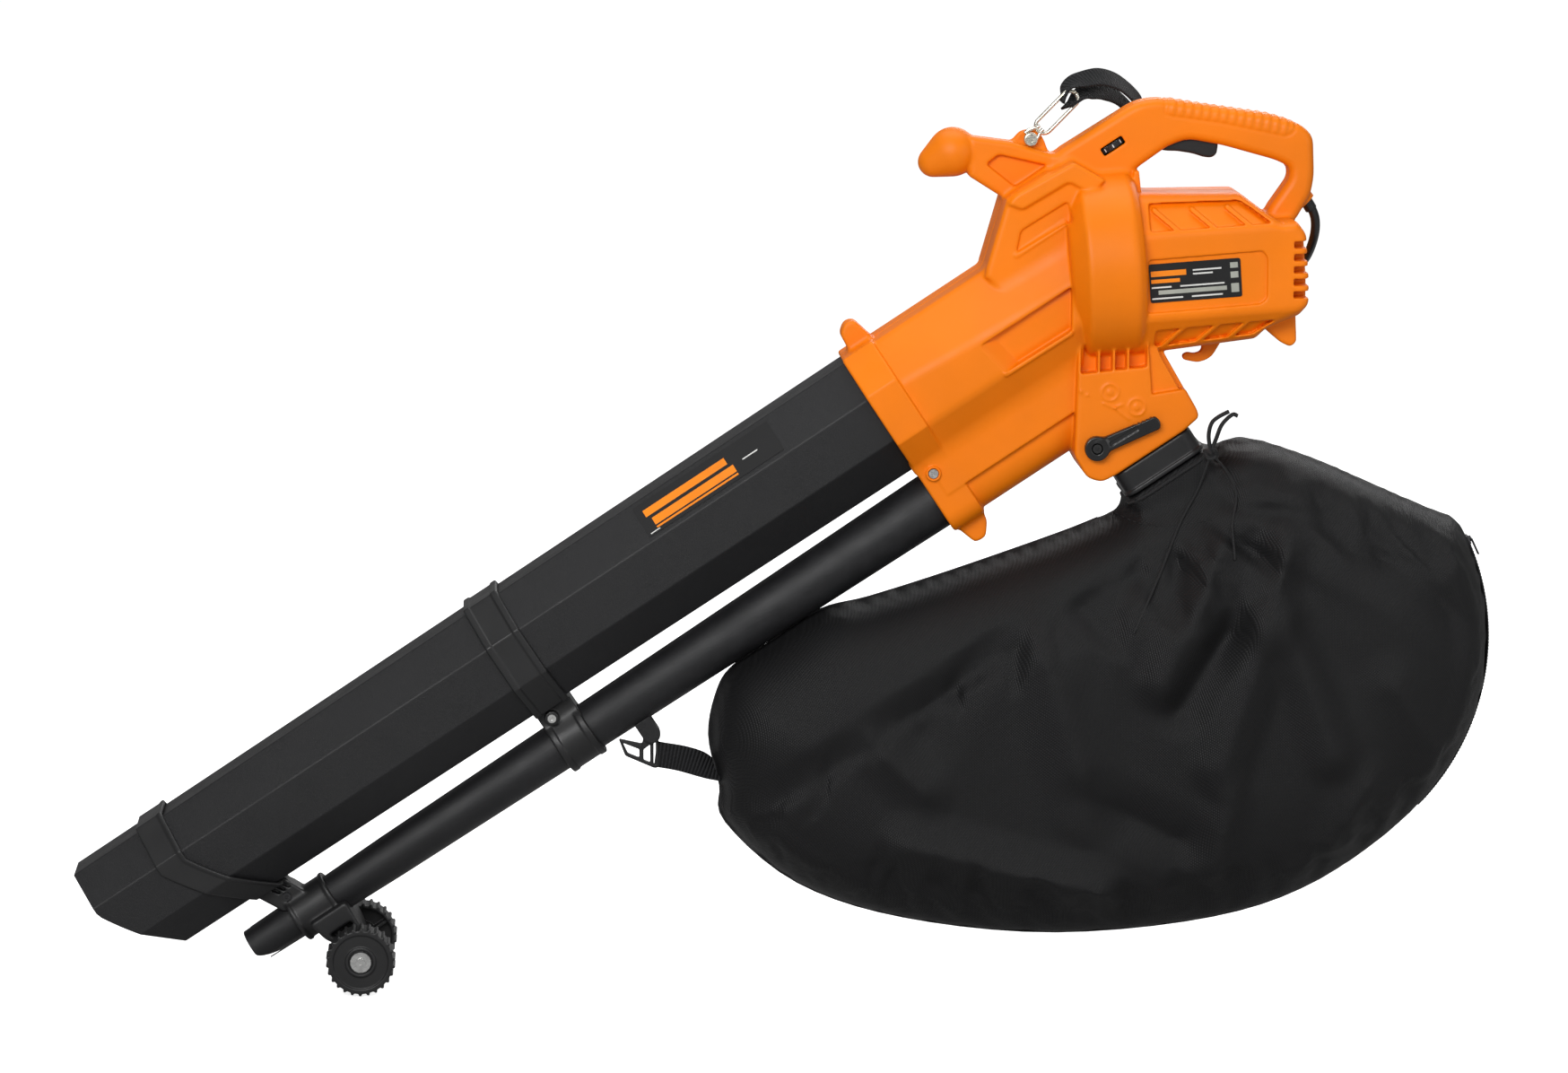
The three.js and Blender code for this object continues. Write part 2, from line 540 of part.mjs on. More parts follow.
// ---------------------------------------------------------------- nozzle bracket and wheels
function addNozzleBracket() {
  const { skin, screw } = BRACKET;
  const bandRing = (t) => octagonRing(t, SUCTION.halfWidth + skin, heightAt(t) + skin + GAP,
    SUCTION.facet + 1, SUCTION.topFlat + 1, BRACKET.rake);
  const bore = suctionSkin(-860, -600, -GAP);
  const band = cut(solid(loft([bandRing(BRACKET.from), bandRing(BRACKET.to)])), bore);
  const clampRadius = BLOWER_RADIUS.neck + skin;
  const clampCut = solid(loft([-752, -600].map((t, i) => {
    return circleRing(t, [BLOWER_RADIUS.mouth, BLOWER_RADIUS.neck][i] + GAP, BLOWER.level);
  })));
  const armSide = [[-726, -55], [-696, -55], [-676, -88], [-704, -92]];
  const forkSide = [
    [-694, -105], [-655, -105], [-656, -130], [-660, -149], [-665, -161], [-676, -161], [-681, -145],
  ];
  const body = cut(
    join(
      band,
      solid(slab(roundCorners(armSide), -13, 13)),
      solid(rodX(clampRadius, BLOWER_CLAMP.from, BLOWER_CLAMP.to, 0, BLOWER.level)),
      solid(slab(roundCorners(forkSide), -30, 30)),
      solid(rodY(8, -WHEEL.inner + 0.5, WHEEL.inner - 0.5, WHEEL.t, WHEEL.n, 16)),
    ),
    bore,
    clampCut,
    solid(rodY(AXLE_RADIUS + GAP, -50, 50, WHEEL.t, WHEEL.n, 16)),
    solid(rodY(2.2, -20, 6, screw.x, screw.z, 12)),
  );
  piece(tubes, 'nozzle_bracket', body, BLACK);
  piece(tubes, 'bracket_screw', screwBody(4, 2.6, 1.9, 14), BLACK, { ...screw, y: -13 - GAP });
}

function wheelBody() {
  const outline = [];
  for (let i = 0; i < WHEEL.teeth; i += 1) {
    const tooth = [[0, WHEEL.root], [0.12, WHEEL.radius], [0.5, WHEEL.radius], [0.62, WHEEL.root]];
    tooth.forEach(([share, radius]) => {
      const angle = ((i + share) / WHEEL.teeth) * 2 * Math.PI;
      outline.push(new THREE.Vector2(radius * Math.cos(angle), radius * Math.sin(angle)));
    });
  }
  const width = WHEEL.outer - WHEEL.inner;
  return cut(
    solid(slab(outline, -width / 2, width / 2)),
    solid(rodY(WHEEL.bore, -width, width, 0, 0, 16)),
    solid(rodY(11, -width, -width / 2 + 2.4, 0, 0, 16)),
  );
}

function addWheels() {
  const middle = (WHEEL.inner + WHEEL.outer) / 2;
  const place = { x: WHEEL.t, z: WHEEL.n };
  piece(tubes, 'wheel_axle', rodY(AXLE_RADIUS, -59, 59, 0, 0, 16), STEEL, place);
  [['left', -1], ['right', 1]].forEach(([side, sign]) => {
    const turnZ = sign < 0 ? 0 : Math.PI;
    piece(tubes, `wheel_${side}`, wheelBody(), BLACK, { ...place, y: sign * middle, turnZ });
    const cap = screwBody(4.2, 2.4, 3, 1.2);
    const washer = cut(solid(rodY(9.5, -0.8, 0.8, 0, 0, 16)), solid(rodY(3.4, -2, 2, 0, 0, 16)));
    piece(tubes, `wheel_washer_${side}`, washer, STEEL, { ...place, y: sign * 61.6 });
    piece(tubes, `wheel_screw_${side}`, cap, STEEL, { ...place, y: sign * 62.7, turnZ });
  });
}

// ---------------------------------------------------------------- motor and fan, local X is the shaft
function addMotor() {
  piece(motor, 'stator', ringX(STATOR.inner, STATOR.outer, STATOR.from, STATOR.to, 24), STEEL);
  const plateRadius = FAN_CASE.radius - 5 - GAP;
  const backPlate = cut(solid(rodX(plateRadius, 14, 17, 0, 0, 24)), solid(rodX(14 + GAP, 10, 20)));
  piece(motor, 'fan_back_plate', backPlate, BLACK);
  Object.entries(BEARING).forEach(([end, [from, to, radius]]) => {
    piece(motor, `bearing_${end}`, ringX(4 + GAP, radius, from, to), STEEL);
  });
  [['upper', 1], ['lower', -1]].forEach(([place, sign]) => {
    piece(motor, `brush_holder_${place}`, box(12, 10, 18), BRASS, { x: 131, z: sign * 24 });
  });
  piece(motor, 'motor_shaft', rodX(4, -22, 160, 0, 0, 16), STEEL);
  piece(motor, 'armature', ringX(4.3, 26, 64, 116), COPPER);
  piece(motor, 'commutator', ringX(4.3, 14, 124, 138), COPPER);
  addImpeller();
}

function addImpeller() {
  const blades = 6;
  const disc = solid(rodX(74, 7, 10, 0, 0, 24));
  const hub = solid(rodX(13, -8, 12, 0, 0, 16));
  const parts = [disc, hub];
  for (let i = 0; i < blades; i += 1) {
    const blade = box(24, 3, 56, -4, 0, 42).rotateX((i / blades) * 2 * Math.PI);
    parts.push(solid(blade));
  }
  const bore = solid(rodX(4 + GAP, -20, 20, 0, 0, 16));
  piece(motor, 'impeller', cut(join(...parts), bore), BLACK);
  const knife = cut(
    join(solid(box(3, 20, 76, 0, 0, 0)), solid(rodX(11, -1.5, 1.5, 0, 0, 16))),
    solid(rodX(4 + GAP, -5, 5, 0, 0, 16)),
  );
  piece(motor, 'mulching_blade', knife, STEEL, { x: -18.4 });
  const spacer = ringX(4.3, 8, -16.5, -8.4, 16);
  piece(motor, 'blade_spacer', spacer, STEEL);
  const nut = cut(solid(rodX(7, -26, -20.3, 0, 0, 6)), solid(rodX(4 + GAP, -30, -18, 0, 0, 16)));
  piece(motor, 'impeller_nut', nut, STEEL);
}

// ---------------------------------------------------------------- controls
function addTrigger() {
  const outline = [
    [-4, -2], [-2, -8], [16, -1], [20, -4.5], [34, -9], [43, -12], [48, -8], [48.5, -1], [47, 5], [20, 5],
    [0, 4],
  ];
  const body = cut(
    solid(slab(roundCorners(outline), -7.4, 7.4)),
    solid(rodY(2.4, -9, 9, 0, 0, 12)),
  );
  piece(head, 'trigger', body, BLACK, TRIGGER_PIVOT);
  piece(head, 'trigger_pin', rodY(2, -13.5, 13.5, 0, 0, 12), STEEL, TRIGGER_PIVOT);
  piece(head, 'power_switch', box(24, 18, 14), BLACK, { x: 122, z: 121.5, turnY: 0.2 });
  piece(head, 'speed_board', box(26, 2, 18), BOARD, { x: 2, y: 11.5, z: 107, turnY: -DIAL.tilt });
}

function addDial() {
  const wheel = new THREE.CylinderGeometry(DIAL.radius, DIAL.radius, DIAL.thickness, 24).rotateX(Math.PI / 2);
  const axle = new THREE.CylinderGeometry(2, 2, DIAL.thickness + 6, 12).rotateX(Math.PI / 2);
  const place = { x: DIAL.x, y: DIAL.y, z: DIAL.z, turnY: -DIAL.tilt };
  piece(head, 'speed_dial', join(solid(wheel), solid(axle)), BLACK, place);
}

function addDiverter() {
  const outer = -BOX.halfWidth - GAP - 0.2;
  const arm = roundCorners([[0, -6], [62, -6, 3], [62, 6, 3], [0, 6]]);
  const lever = cut(
    join(
      solid(rodY(11.5, outer - 9, outer)),
      solid(slab(arm, outer - 8, outer)),
    ),
    solid(rodY(5, outer - 12, outer - 5, 0, 0, 16)),
    solid(rodY(2.3, outer - 12, outer + 2, 0, 0, 12)),
  );
  piece(head, 'diverter_lever', lever, BLACK, { ...FLAP_PIVOT, turnY: -LEVER_ANGLE });
  const shaft = solid(rodY(5, outer + 0.4, 48, 0, 0, 16));
  const blade = solid(box(55, 2 * BOX.halfWidth - 2 * WALL - 2, 2.4, 29, 0, 0));
  const flap = cut(join(shaft, blade), solid(rodY(2.3, -60, -24, 0, 0, 12)));
  piece(head, 'diverter_flap', flap, BLACK, { ...FLAP_PIVOT, turnY: -FLAP_ANGLE });
  piece(head, 'diverter_screw', screwBody(4.2, 3, 1.9, 16), BLACK, { ...FLAP_PIVOT, y: outer - 5 - GAP });
}

// ---------------------------------------------------------------- labels and cable
function addLabels() {
  const rating = box(82, 0.8, 40);
  piece(motor, 'rating_plate', rating, LABEL, { x: 74, y: -MOTOR_CASE.halfWidth - 0.7, z: -14 });
  const slope = Math.atan2(heightAt(-160) - SUCTION.facet, SUCTION.halfWidth - SUCTION.topFlat);
  const middle = { y: -(SUCTION.halfWidth + SUCTION.topFlat) / 2, z: (heightAt(-160) + SUCTION.facet) / 2 };
  const lift = 0.9;
  piece(tubes, 'tube_label', box(150, 36, 0.6), LABEL, {
    x: -160,
    y: middle.y - lift * Math.sin(slope),
    z: middle.z + lift * Math.cos(slope),
    turnX: slope,
  });
}

// Round cord along a smooth path.
function cord(points, radius, steps, sides = 8) {
  const quarters = sides / 2; // an arc is drawn with twice its curve segments
  const circle = new THREE.Shape().absarc(0, 0, radius, 0, 2 * Math.PI);
  return new THREE.ExtrudeGeometry(circle, {
    steps,
    curveSegments: quarters,
    bevelEnabled: false,
    extrudePath: new THREE.CatmullRomCurve3(points),
  });
}

function addCable() {
  const path = CABLE_PATH.map((p) => vec(...p));
  piece(head, 'power_cable', cord(path, CABLE_RADIUS, 20), BLACK_SOFT);
  const boot = turnedX([[0, 0], [0, 4.4], [14, 7], [16, 8], [18, 8], [18, 0]], 16);
  const bore = cord(path, CABLE_RADIUS + 0.4, 20);
  piece(head, 'cable_boot', cut(solid(boot.rotateY(0.99).translate(176.5, 0, 67.5)), solid(bore), solid(
    slab(handleOutline, -HANDLE.halfWidth - GAP, HANDLE.halfWidth + GAP),
  )), BLACK_SOFT);
  const plug = join(
    solid(turnedX([[-18, 0], [-18, 15], [-6, 15], [8, 11], [21, 6], [21, 0]], 16)),
    solid(rodX(2.4, -37, -17, 0, -9.5, 10)),
    solid(rodX(2.4, -37, -17, 0, 9.5, 10)),
  );
  piece(head, 'mains_plug', plug, BLACK_SOFT, { x: 62, y: 80.5, z: -54, turnY: -0.55 });
}

// ---------------------------------------------------------------- shoulder strap
const LINK_Y = [-11.2, -7.4];
const LINK_MIDDLE = 33.2; // from the screw to the middle of the long ring

function addStrapLink() {
  const turned = (x, z) => [x * Math.SQRT1_2 - z * Math.SQRT1_2, x * Math.SQRT1_2 + z * Math.SQRT1_2];
  const stadium = (half, radius) => {
    const ends = [[-half, -radius], [half, -radius], [half, radius], [-half, radius]];
    const placed = ends.map(([x, z]) => turned(x + LINK_MIDDLE, z).concat(radius));
    return roundCorners(placed, 0, 5);
  };
  const throat = [[2, 5], [5, 2], [14, 12], [12, 14]];
  const link = cut(
    join(
      cut(solid(slab(stadium(19, 9.5), ...LINK_Y)), solid(slab(stadium(15.4, 5.9), -20, 0))),
      solid(slab(roundCorners(throat), ...LINK_Y)),
      solid(rodY(6, ...LINK_Y, 0, 0, 16)),
    ),
    solid(rodY(2.9, -20, 0, 0, 0, 16)),
  );
  piece(head, 'strap_link', link, ZINC, STRAP_PIVOT);
  piece(head, 'strap_screw', screwBody(5.4, 3.2, 2.4, 21), ZINC, { ...STRAP_PIVOT, y: LINK_Y[0] - GAP });
  const nut = cut(solid(new THREE.CylinderGeometry(5, 5, 4, 6)), solid(rodY(2.7, -5, 5, 0, 0, 12)));
  piece(head, 'strap_nut', nut, ZINC, { ...STRAP_PIVOT, y: 7.6 });
}

// Flat webbing: a band of the given width and thickness through centre-line points.
function webbing(points, widths, width, thickness, steps) {
  const path = new THREE.CatmullRomCurve3(points);
  const lean = new THREE.CatmullRomCurve3(widths);
  const rings = Array.from({ length: steps + 1 }, (_, i) => {
    const u = i / steps;
    const centre = path.getPoint(u);
    const across = lean.getPoint(u).normalize().multiplyScalar(width / 2);
    const normal = path.getTangent(u).cross(across).normalize().multiplyScalar(thickness / 2);
    return [[1, 1], [-1, 1], [-1, -1], [1, -1]].map(([a, b]) => {
      return centre.clone().addScaledVector(across, a).addScaledVector(normal, b);
    });
  });
  return loft(rings);
}

function addShoulderStrap() {
  const stations = [
    [-41, -6, 156.5, 0, 1, 0.1], [-36, -3, 162, 0, 1, 0.3], [-14, 9, 168, 0, 1, 0.5], [14, 26, 160, 0, 1, 0.6],
    [32, 47, 141, 0.2, 1, 0.5], [32, 70, 119, 0.6, 0.8, 0.3], [20, 92, 94, 1, 0.4, 0], [4, 104, 58, 1, 0.1, 0],
    [-4, 107, 10, 1, 0, 0], [-4, 107, -50, 1, 0, 0], [-4, 105.5, -70, 1, 0, 0], [-4, 102.2, -77, 1, 0, 0],
    [-4, 99, -70, 1, 0, 0], [-4, 97.5, -50, 1, 0, 0], [-4, 97, 10, 1, 0, 0], [2, 92, 58, 1, 0.1, 0],
    [13, 77, 92, 1, 0.4, 0], [24, 57, 115, 0.6, 0.8, 0.3], [24, 41, 133, 0.2, 1, 0.5], [9, 27, 149, 0, 1, 0.6],
    [-10, 14, 154, 0, 1, 0.5], [-26, 0, 150, 0, 1, 0.2],
  ];
  const points = stations.map(([x, y, z]) => vec(x, y, z));
  const widths = stations.map(([, , , x, y, z]) => vec(x, y, z));
  piece(head, 'shoulder_strap', webbing(points, widths, 24, 2.6, 44), CLOTH);
}

// ---------------------------------------------------------------- bag
const bagCorners = [
  [92, -196], [110, -162], [150, -163], [202, -182], [251, -205], [300, -231], [325, -246], [345, -300], [351, -370],
  [335, -443], [284, -511], [202, -574], [104, -608], [-44, -621], [-184, -605], [-282, -571], [-345, -516],
  [-362, -433], [-346, -385], [-290, -345], [-217, -312], [-143, -284], [-44, -249], [2, -238],
];

// Side outline of the bag, pulled in towards its middle as the sides close.
function bagSkin(inward) {
  const curve = new THREE.CatmullRomCurve3(bagCorners.map(([x, z]) => vec(x, 0, z)), true, 'centripetal');
  const rim = curve.getPoints(34).slice(0, -1);
  const middle = vec(BAG.centre.x, 0, BAG.centre.z);
  const layers = [-1, -0.94, -0.78, -0.5, 0, 0.5, 0.78, 0.94, 1];
  const rings = layers.map((layer) => {
    const fullness = (1 - Math.abs(layer) ** 2.6) ** (1 / 2.2);
    return rim.map((p) => {
      const offset = p.clone().sub(middle);
      const reach = Math.max(offset.length() * fullness - inward, 12 - inward);
      return middle.clone().add(offset.setLength(reach)).setY(layer * (BAG.halfWidth - inward));
    });
  });
  return solid(loft(rings));
}

function bagNeck(inward, from, to) {
  const ring = (v, a, b) => roundedBox(a - inward, b - inward, 12).map((p) => vec(p.x, p.y, -v));
  return inOutlet(loft([ring(from, 42, 43), ring(40, 42, 43), ring(to, 48, 46)]));
}

function addBag() {
  const frameFrom = BAG_FRAME.from;
  const spigot = [OUTLET.halfLength - 1, OUTLET.halfWidth - 1];
  const frame = cut(
    join(
      solid(plate(roundedBox(BAG_FRAME.halfLength, BAG_FRAME.halfWidth, 12), -BAG_FRAME.to, -frameFrom)),
      solid(plate(roundedBox(...spigot, 8), -frameFrom - 1, 5)),
    ),
    solid(plate(roundedBox(spigot[0] - 2.5, spigot[1] - 2.5, 7), -60, 20)),
  );
  piece(outlet, 'bag_frame', frame, BLACK);
  const neckFrom = BAG_FRAME.to + 0.6;
  const cloth = cut(
    join(bagSkin(0), bagNeck(0, neckFrom, 90)),
    bagSkin(BAG.cloth),
    bagNeck(BAG.cloth, neckFrom - 3, 92),
  );
  piece(head, 'bag', cloth, CLOTH);
  addDrawstring();
  addZip();
  addBagStrap();
}

function addDrawstring() {
  const [inner, outer] = [[42.5, 43.5], [46, 47]];
  const level = [-36, -32.5];
  const knot = new THREE.SphereGeometry(5, 8, 6).translate(30, -50, -34);
  const strand = (points, steps) => solid(cord(points.map((p) => vec(...p)), 1.5, steps, 6));
  const body = join(
    cut(
      solid(plate(roundedBox(...outer, 15), ...level)),
      solid(plate(roundedBox(...inner, 12), level[0] - 5, level[1] + 5)),
    ),
    solid(knot),
    strand([[30, -52, -32], [37, -56, -22], [45, -57, -12], [52, -57, -16]], 6),
    strand([[30, -53, -35], [48, -64, -44], [34, -84, -80], [8, -98, -120]], 8),
  );
  piece(outlet, 'drawstring', body, BLACK_SOFT);
}

function arcBand(radius, height, from, to, halfWidth, steps) {
  const angles = Array.from({ length: steps + 1 }, (_, i) => {
    return THREE.MathUtils.degToRad(THREE.MathUtils.lerp(from, to, i / steps));
  });
  const rings = angles.map((angle) => {
    const at = (r, y) => vec(r * Math.cos(angle), y, r * Math.sin(angle));
    const top = radius + height;
    return [at(radius, -halfWidth), at(radius, halfWidth), at(top, halfWidth), at(top, -halfWidth)];
  });
  return loft(rings);
}

function addZip() {
  const place = { x: ZIP.x, z: ZIP.z };
  const base = ZIP.radius + 2.5;
  const tape = arcBand(base, ZIP.height, ZIP.from + 4, ZIP.to - 4, ZIP.halfWidth, 24);
  piece(head, 'bag_zip', tape, BLACK_SOFT, place);
  const slider = arcBand(base + ZIP.height + 0.6, 4, ZIP.from - 1.5, ZIP.from + 1.5, 5.5, 2);
  const tab = box(3, 6, 16).translate(base + ZIP.height + 5, 0, -10);
  tab.rotateY(-THREE.MathUtils.degToRad(ZIP.from));
  piece(head, 'zip_pull', join(solid(slider), solid(tab)), STEEL, place);
}

function addBagStrap() {
  const peg = { x: 0, z: 0 };
  const mouth = [-0.5476, 0.8368]; // the hook opens this way, against the way the bag comes off
  const outer = rodY(8.4, -4, 4, peg.x, peg.z, 20);
  const opening = slab(roundCorners([
    [-4.6, 0], [4.6, 0], [4.6 + mouth[0] * 30, mouth[1] * 30], [-4.6 + mouth[0] * 30, mouth[1] * 30],
  ]), -10, 10);
  const stem = [[4, -9], [8, -2], [31, -16], [29, -26]];
  const buckle = [[25, -12], [32, -12], [32, -32], [25, -32]];
  const hook = cut(
    join(
      cut(solid(outer), solid(rodY(4.6, -9, 9, 0, 0, 16)), solid(opening)),
      solid(slab(roundCorners(stem), -4, 4)),
      solid(slab(roundCorners(buckle), -15, 15)),
    ),
    solid(rodY(4.6, -9, 9, 0, 0, 16)),
  );
  const lug = vec(LUG.t, 0, LUG.n).applyMatrix4(tubeFrame);
  piece(head, 'bag_hook', hook, BLACK, { x: lug.x, z: lug.z });
  const strapPath = [vec(lug.x + 32.6, 0, lug.z - 22), vec(lug.x + 45, 0, lug.z - 28), vec(-360, 0, -470)];
  const across = [vec(0, 1, 0), vec(0, 1, 0), vec(0, 1, 0.3)];
  piece(head, 'bag_strap', webbing(strapPath, across, 24, 2, 8), CLOTH);
}

// ---------------------------------------------------------------- assembly
addHousing();
addSuctionTubes();
addBlowerTubes();
addCoupling();
addCollarScrew();
addNozzleBracket();
addWheels();
addMotor();
addTrigger();
addDial();
addDiverter();
addLabels();
addCable();
addStrapLink();
addShoulderStrap();
addBag();

// Origin: middle of the bounding box, on the ground.
const machine = new THREE.Group();
machine.add(head);
const bounds = new THREE.Box3().setFromObject(machine, true);
const middle = bounds.getCenter(vec(0, 0, 0));
head.position.set(-middle.x, -middle.y, -bounds.min.z);

export default machine;
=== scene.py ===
"""Looks for the leaf vacuum mulcher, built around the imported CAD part.

Lengths below are millimetres. Four sets of axes are used, all placed from the part's own joints:
HEAD has its origin at the fan centre, TUBE at the mouth of the collar with its first axis up the tubes,
MOTOR lies along the fan shaft, and OUTLET stands at the way out into the bag.
Moulded pieces are made as distance fields, negative inside, that are joined and cut with soft edges.
"""

import json
import math

import bpy
import numpy as np
import openvdb
from mathutils import Matrix, Vector


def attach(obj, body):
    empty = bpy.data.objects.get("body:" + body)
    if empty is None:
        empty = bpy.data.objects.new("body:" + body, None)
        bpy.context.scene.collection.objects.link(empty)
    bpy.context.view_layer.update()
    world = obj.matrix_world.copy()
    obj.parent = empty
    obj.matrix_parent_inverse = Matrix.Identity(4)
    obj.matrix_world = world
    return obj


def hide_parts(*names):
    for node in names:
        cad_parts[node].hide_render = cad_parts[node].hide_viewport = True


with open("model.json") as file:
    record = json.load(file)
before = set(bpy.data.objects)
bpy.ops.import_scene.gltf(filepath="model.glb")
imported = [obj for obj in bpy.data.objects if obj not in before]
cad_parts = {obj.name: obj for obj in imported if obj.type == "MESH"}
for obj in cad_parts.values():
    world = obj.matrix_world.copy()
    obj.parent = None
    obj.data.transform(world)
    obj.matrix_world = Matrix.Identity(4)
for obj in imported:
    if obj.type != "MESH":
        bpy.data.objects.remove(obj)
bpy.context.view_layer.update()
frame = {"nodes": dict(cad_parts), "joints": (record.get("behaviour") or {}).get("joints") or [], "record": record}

# ---------------------------------------------------------------- places
MM = 0.001
JOINTS = {joint["name"]: joint for joint in frame["joints"]}
FAN_CENTRE = Vector(JOINTS["fan_spin"]["pos_m"])
BAG_WAY = Vector(JOINTS["bag_removal"]["axis"])
TUBE_TILT = math.atan2(BAG_WAY.x, -BAG_WAY.z)
MOTOR_TILT = math.radians(4)
COLLAR = Vector((-208.5, 0, -134))
OUTLET_AT = Vector((35.5, 0, -166))
LEVER_TILT = math.radians(23.5)
FLAP_PIVOT = Vector((-14.5, 0, -163.3))
STRAP_PIVOT = Vector((-72.4, 0, 113.6))
TRIGGER_PIVOT = Vector((50, 0, 109.5))
DIAL = {"x": 1.4, "z": 108.0, "tilt": math.radians(33)}
WHEEL = {"t": -670.2, "n": -153.1, "radius": 32.0, "root": 29.6, "teeth": 26, "middle": 50.0}
SUCTION = {"mouth": -845.0, "joint": -398.0, "end": 26.0}
BLOWER = {"mouth": -753.0, "neck": -600.0, "joint": -398.0, "end": 26.0, "level": -97.5}
ZIP = {"x": 133.9, "z": -352.3, "radius": 219.0, "from": 29.0, "to": -43.0}


def leaning(origin, tilt):
    return Matrix.Translation(origin) @ Matrix.Rotation(-tilt, 4, "Y")


HEAD = Matrix.Translation(FAN_CENTRE) @ Matrix.Scale(MM, 4)
TUBE = HEAD @ leaning(COLLAR, TUBE_TILT)
MOTOR = HEAD @ leaning(Vector((0, 0, 0)), MOTOR_TILT)
OUTLET = HEAD @ leaning(OUTLET_AT, TUBE_TILT)


# ---------------------------------------------------------------- materials
class Nodes:
    """Short hand for building one material's node tree."""

    def __init__(self, name):
        self.material = bpy.data.materials.new(name)
        self.material.use_nodes = True
        self.tree = self.material.node_tree
        self.surface = self.tree.nodes["Principled BSDF"]

    def add(self, kind, **values):
        node = self.tree.nodes.new("ShaderNode" + kind)
        for key, value in values.items():
            if hasattr(node, key):
                setattr(node, key, value)
            else:
                node.inputs[key.replace("_", " ")].default_value = value
        return node

    def link(self, source, target):
        self.tree.links.new(source, target)

    def place(self, attribute="Object"):
        return self.add("TexCoord").outputs[attribute]

    def noise(self, scale, detail=2.0, stretch=None, place=None):
        node = self.add("TexNoise", Scale=scale, Detail=detail)
        where = place or self.place()
        if stretch:
            mapping = self.add("Mapping")
            mapping.inputs["Scale"].default_value = stretch
            self.link(where, mapping.inputs["Vector"])
            where = mapping.outputs["Vector"]
        self.link(where, node.inputs["Vector"])
        return node.outputs["Fac"]

    def math(self, operation, a, b=0.0, c=0.0):
        node = self.add("Math")
        node.operation = operation
        for socket, value in zip(node.inputs, (a, b, c)):
            if isinstance(value, (int, float)):
                socket.default_value = value
            else:
                self.link(value, socket)
        return node.outputs[0]

    def fade(self, value, low, high, out_low=0.0, out_high=1.0):
        node = self.add("MapRange")
        for socket, number in zip(node.inputs[1:5], (low, high, out_low, out_high)):
            socket.default_value = number
        self.link(value, node.inputs["Value"])
        return node.outputs["Result"]

    def mix(self, share, a, b):
        node = self.add("Mix")
        node.data_type = "RGBA"
        for socket, value in ((node.inputs[0], share), (node.inputs[6], a), (node.inputs[7], b)):
            if isinstance(value, (int, float)):
                socket.default_value = value
            elif isinstance(value, tuple):
                socket.default_value = (*value, 1.0)
            else:
                self.link(value, socket)
        return node.outputs[2]

    def bump(self, height, strength, distance):
        node = self.add("Bump", Strength=strength, Distance=distance)
        self.link(height, node.inputs["Height"])
        previous = self.surface.inputs["Normal"]
        if previous.is_linked:
            self.link(previous.links[0].from_socket, node.inputs["Normal"])
        self.link(node.outputs["Normal"], previous)

    def set(self, name, value):
        socket = self.surface.inputs[name]
        if isinstance(value, (int, float)):
            socket.default_value = value
        elif isinstance(value, tuple):
            socket.default_value = (*value, 1.0)
        else:
            self.link(value, socket)


def shifted(color, factor):
    return tuple(min(1.0, channel * factor) for channel in color)


def plastic(name, color, rough, grain, worn=1.25, coat=0.0, gloss=0.35):
    """Moulded plastic: uneven colour, fine grain, paler worn edges and a patchy sheen."""
    n = Nodes(name)
    clouds = n.noise(9.0, 4.0)
    base = n.mix(n.fade(clouds, 0.35, 0.65), shifted(color, 0.93), shifted(color, 1.05))
    edges = n.fade(n.add("NewGeometry").outputs["Pointiness"], 0.515, 0.56, 0.0, 0.55)
    wear = n.math("MULTIPLY", edges, n.fade(n.noise(60.0), 0.3, 0.7))
    n.set("Base Color", n.mix(wear, base, shifted(color, worn)))
    n.set("Roughness", n.fade(n.noise(35.0, 5.0), 0.3, 0.7, rough - 0.05, rough + 0.07))
    n.set("Specular IOR Level", gloss)
    n.set("Coat Weight", coat)
    n.set("Coat Roughness", 0.25)
    n.bump(n.noise(2600.0, 2.0), grain, 0.0004)
    n.bump(n.noise(420.0, 3.0), grain * 0.35, 0.0006)
    return n.material


def metal(name, color, rough, brushed=(1, 1, 1), tint=None):
    """Bare or plated metal: fine brush lines, dull patches and a little stain."""
    n = Nodes(name)
    stain = n.fade(n.noise(120.0, 5.0), 0.45, 0.7)
    n.set("Base Color", n.mix(stain, color, tint or shifted(color, 0.72)))
    n.set("Metallic", 1.0)
    n.set("Roughness", n.fade(n.noise(300.0, 4.0, brushed), 0.3, 0.7, rough - 0.08, rough + 0.12))
    n.bump(n.noise(1500.0, 2.0, brushed), 0.25, 0.0002)
    return n.material


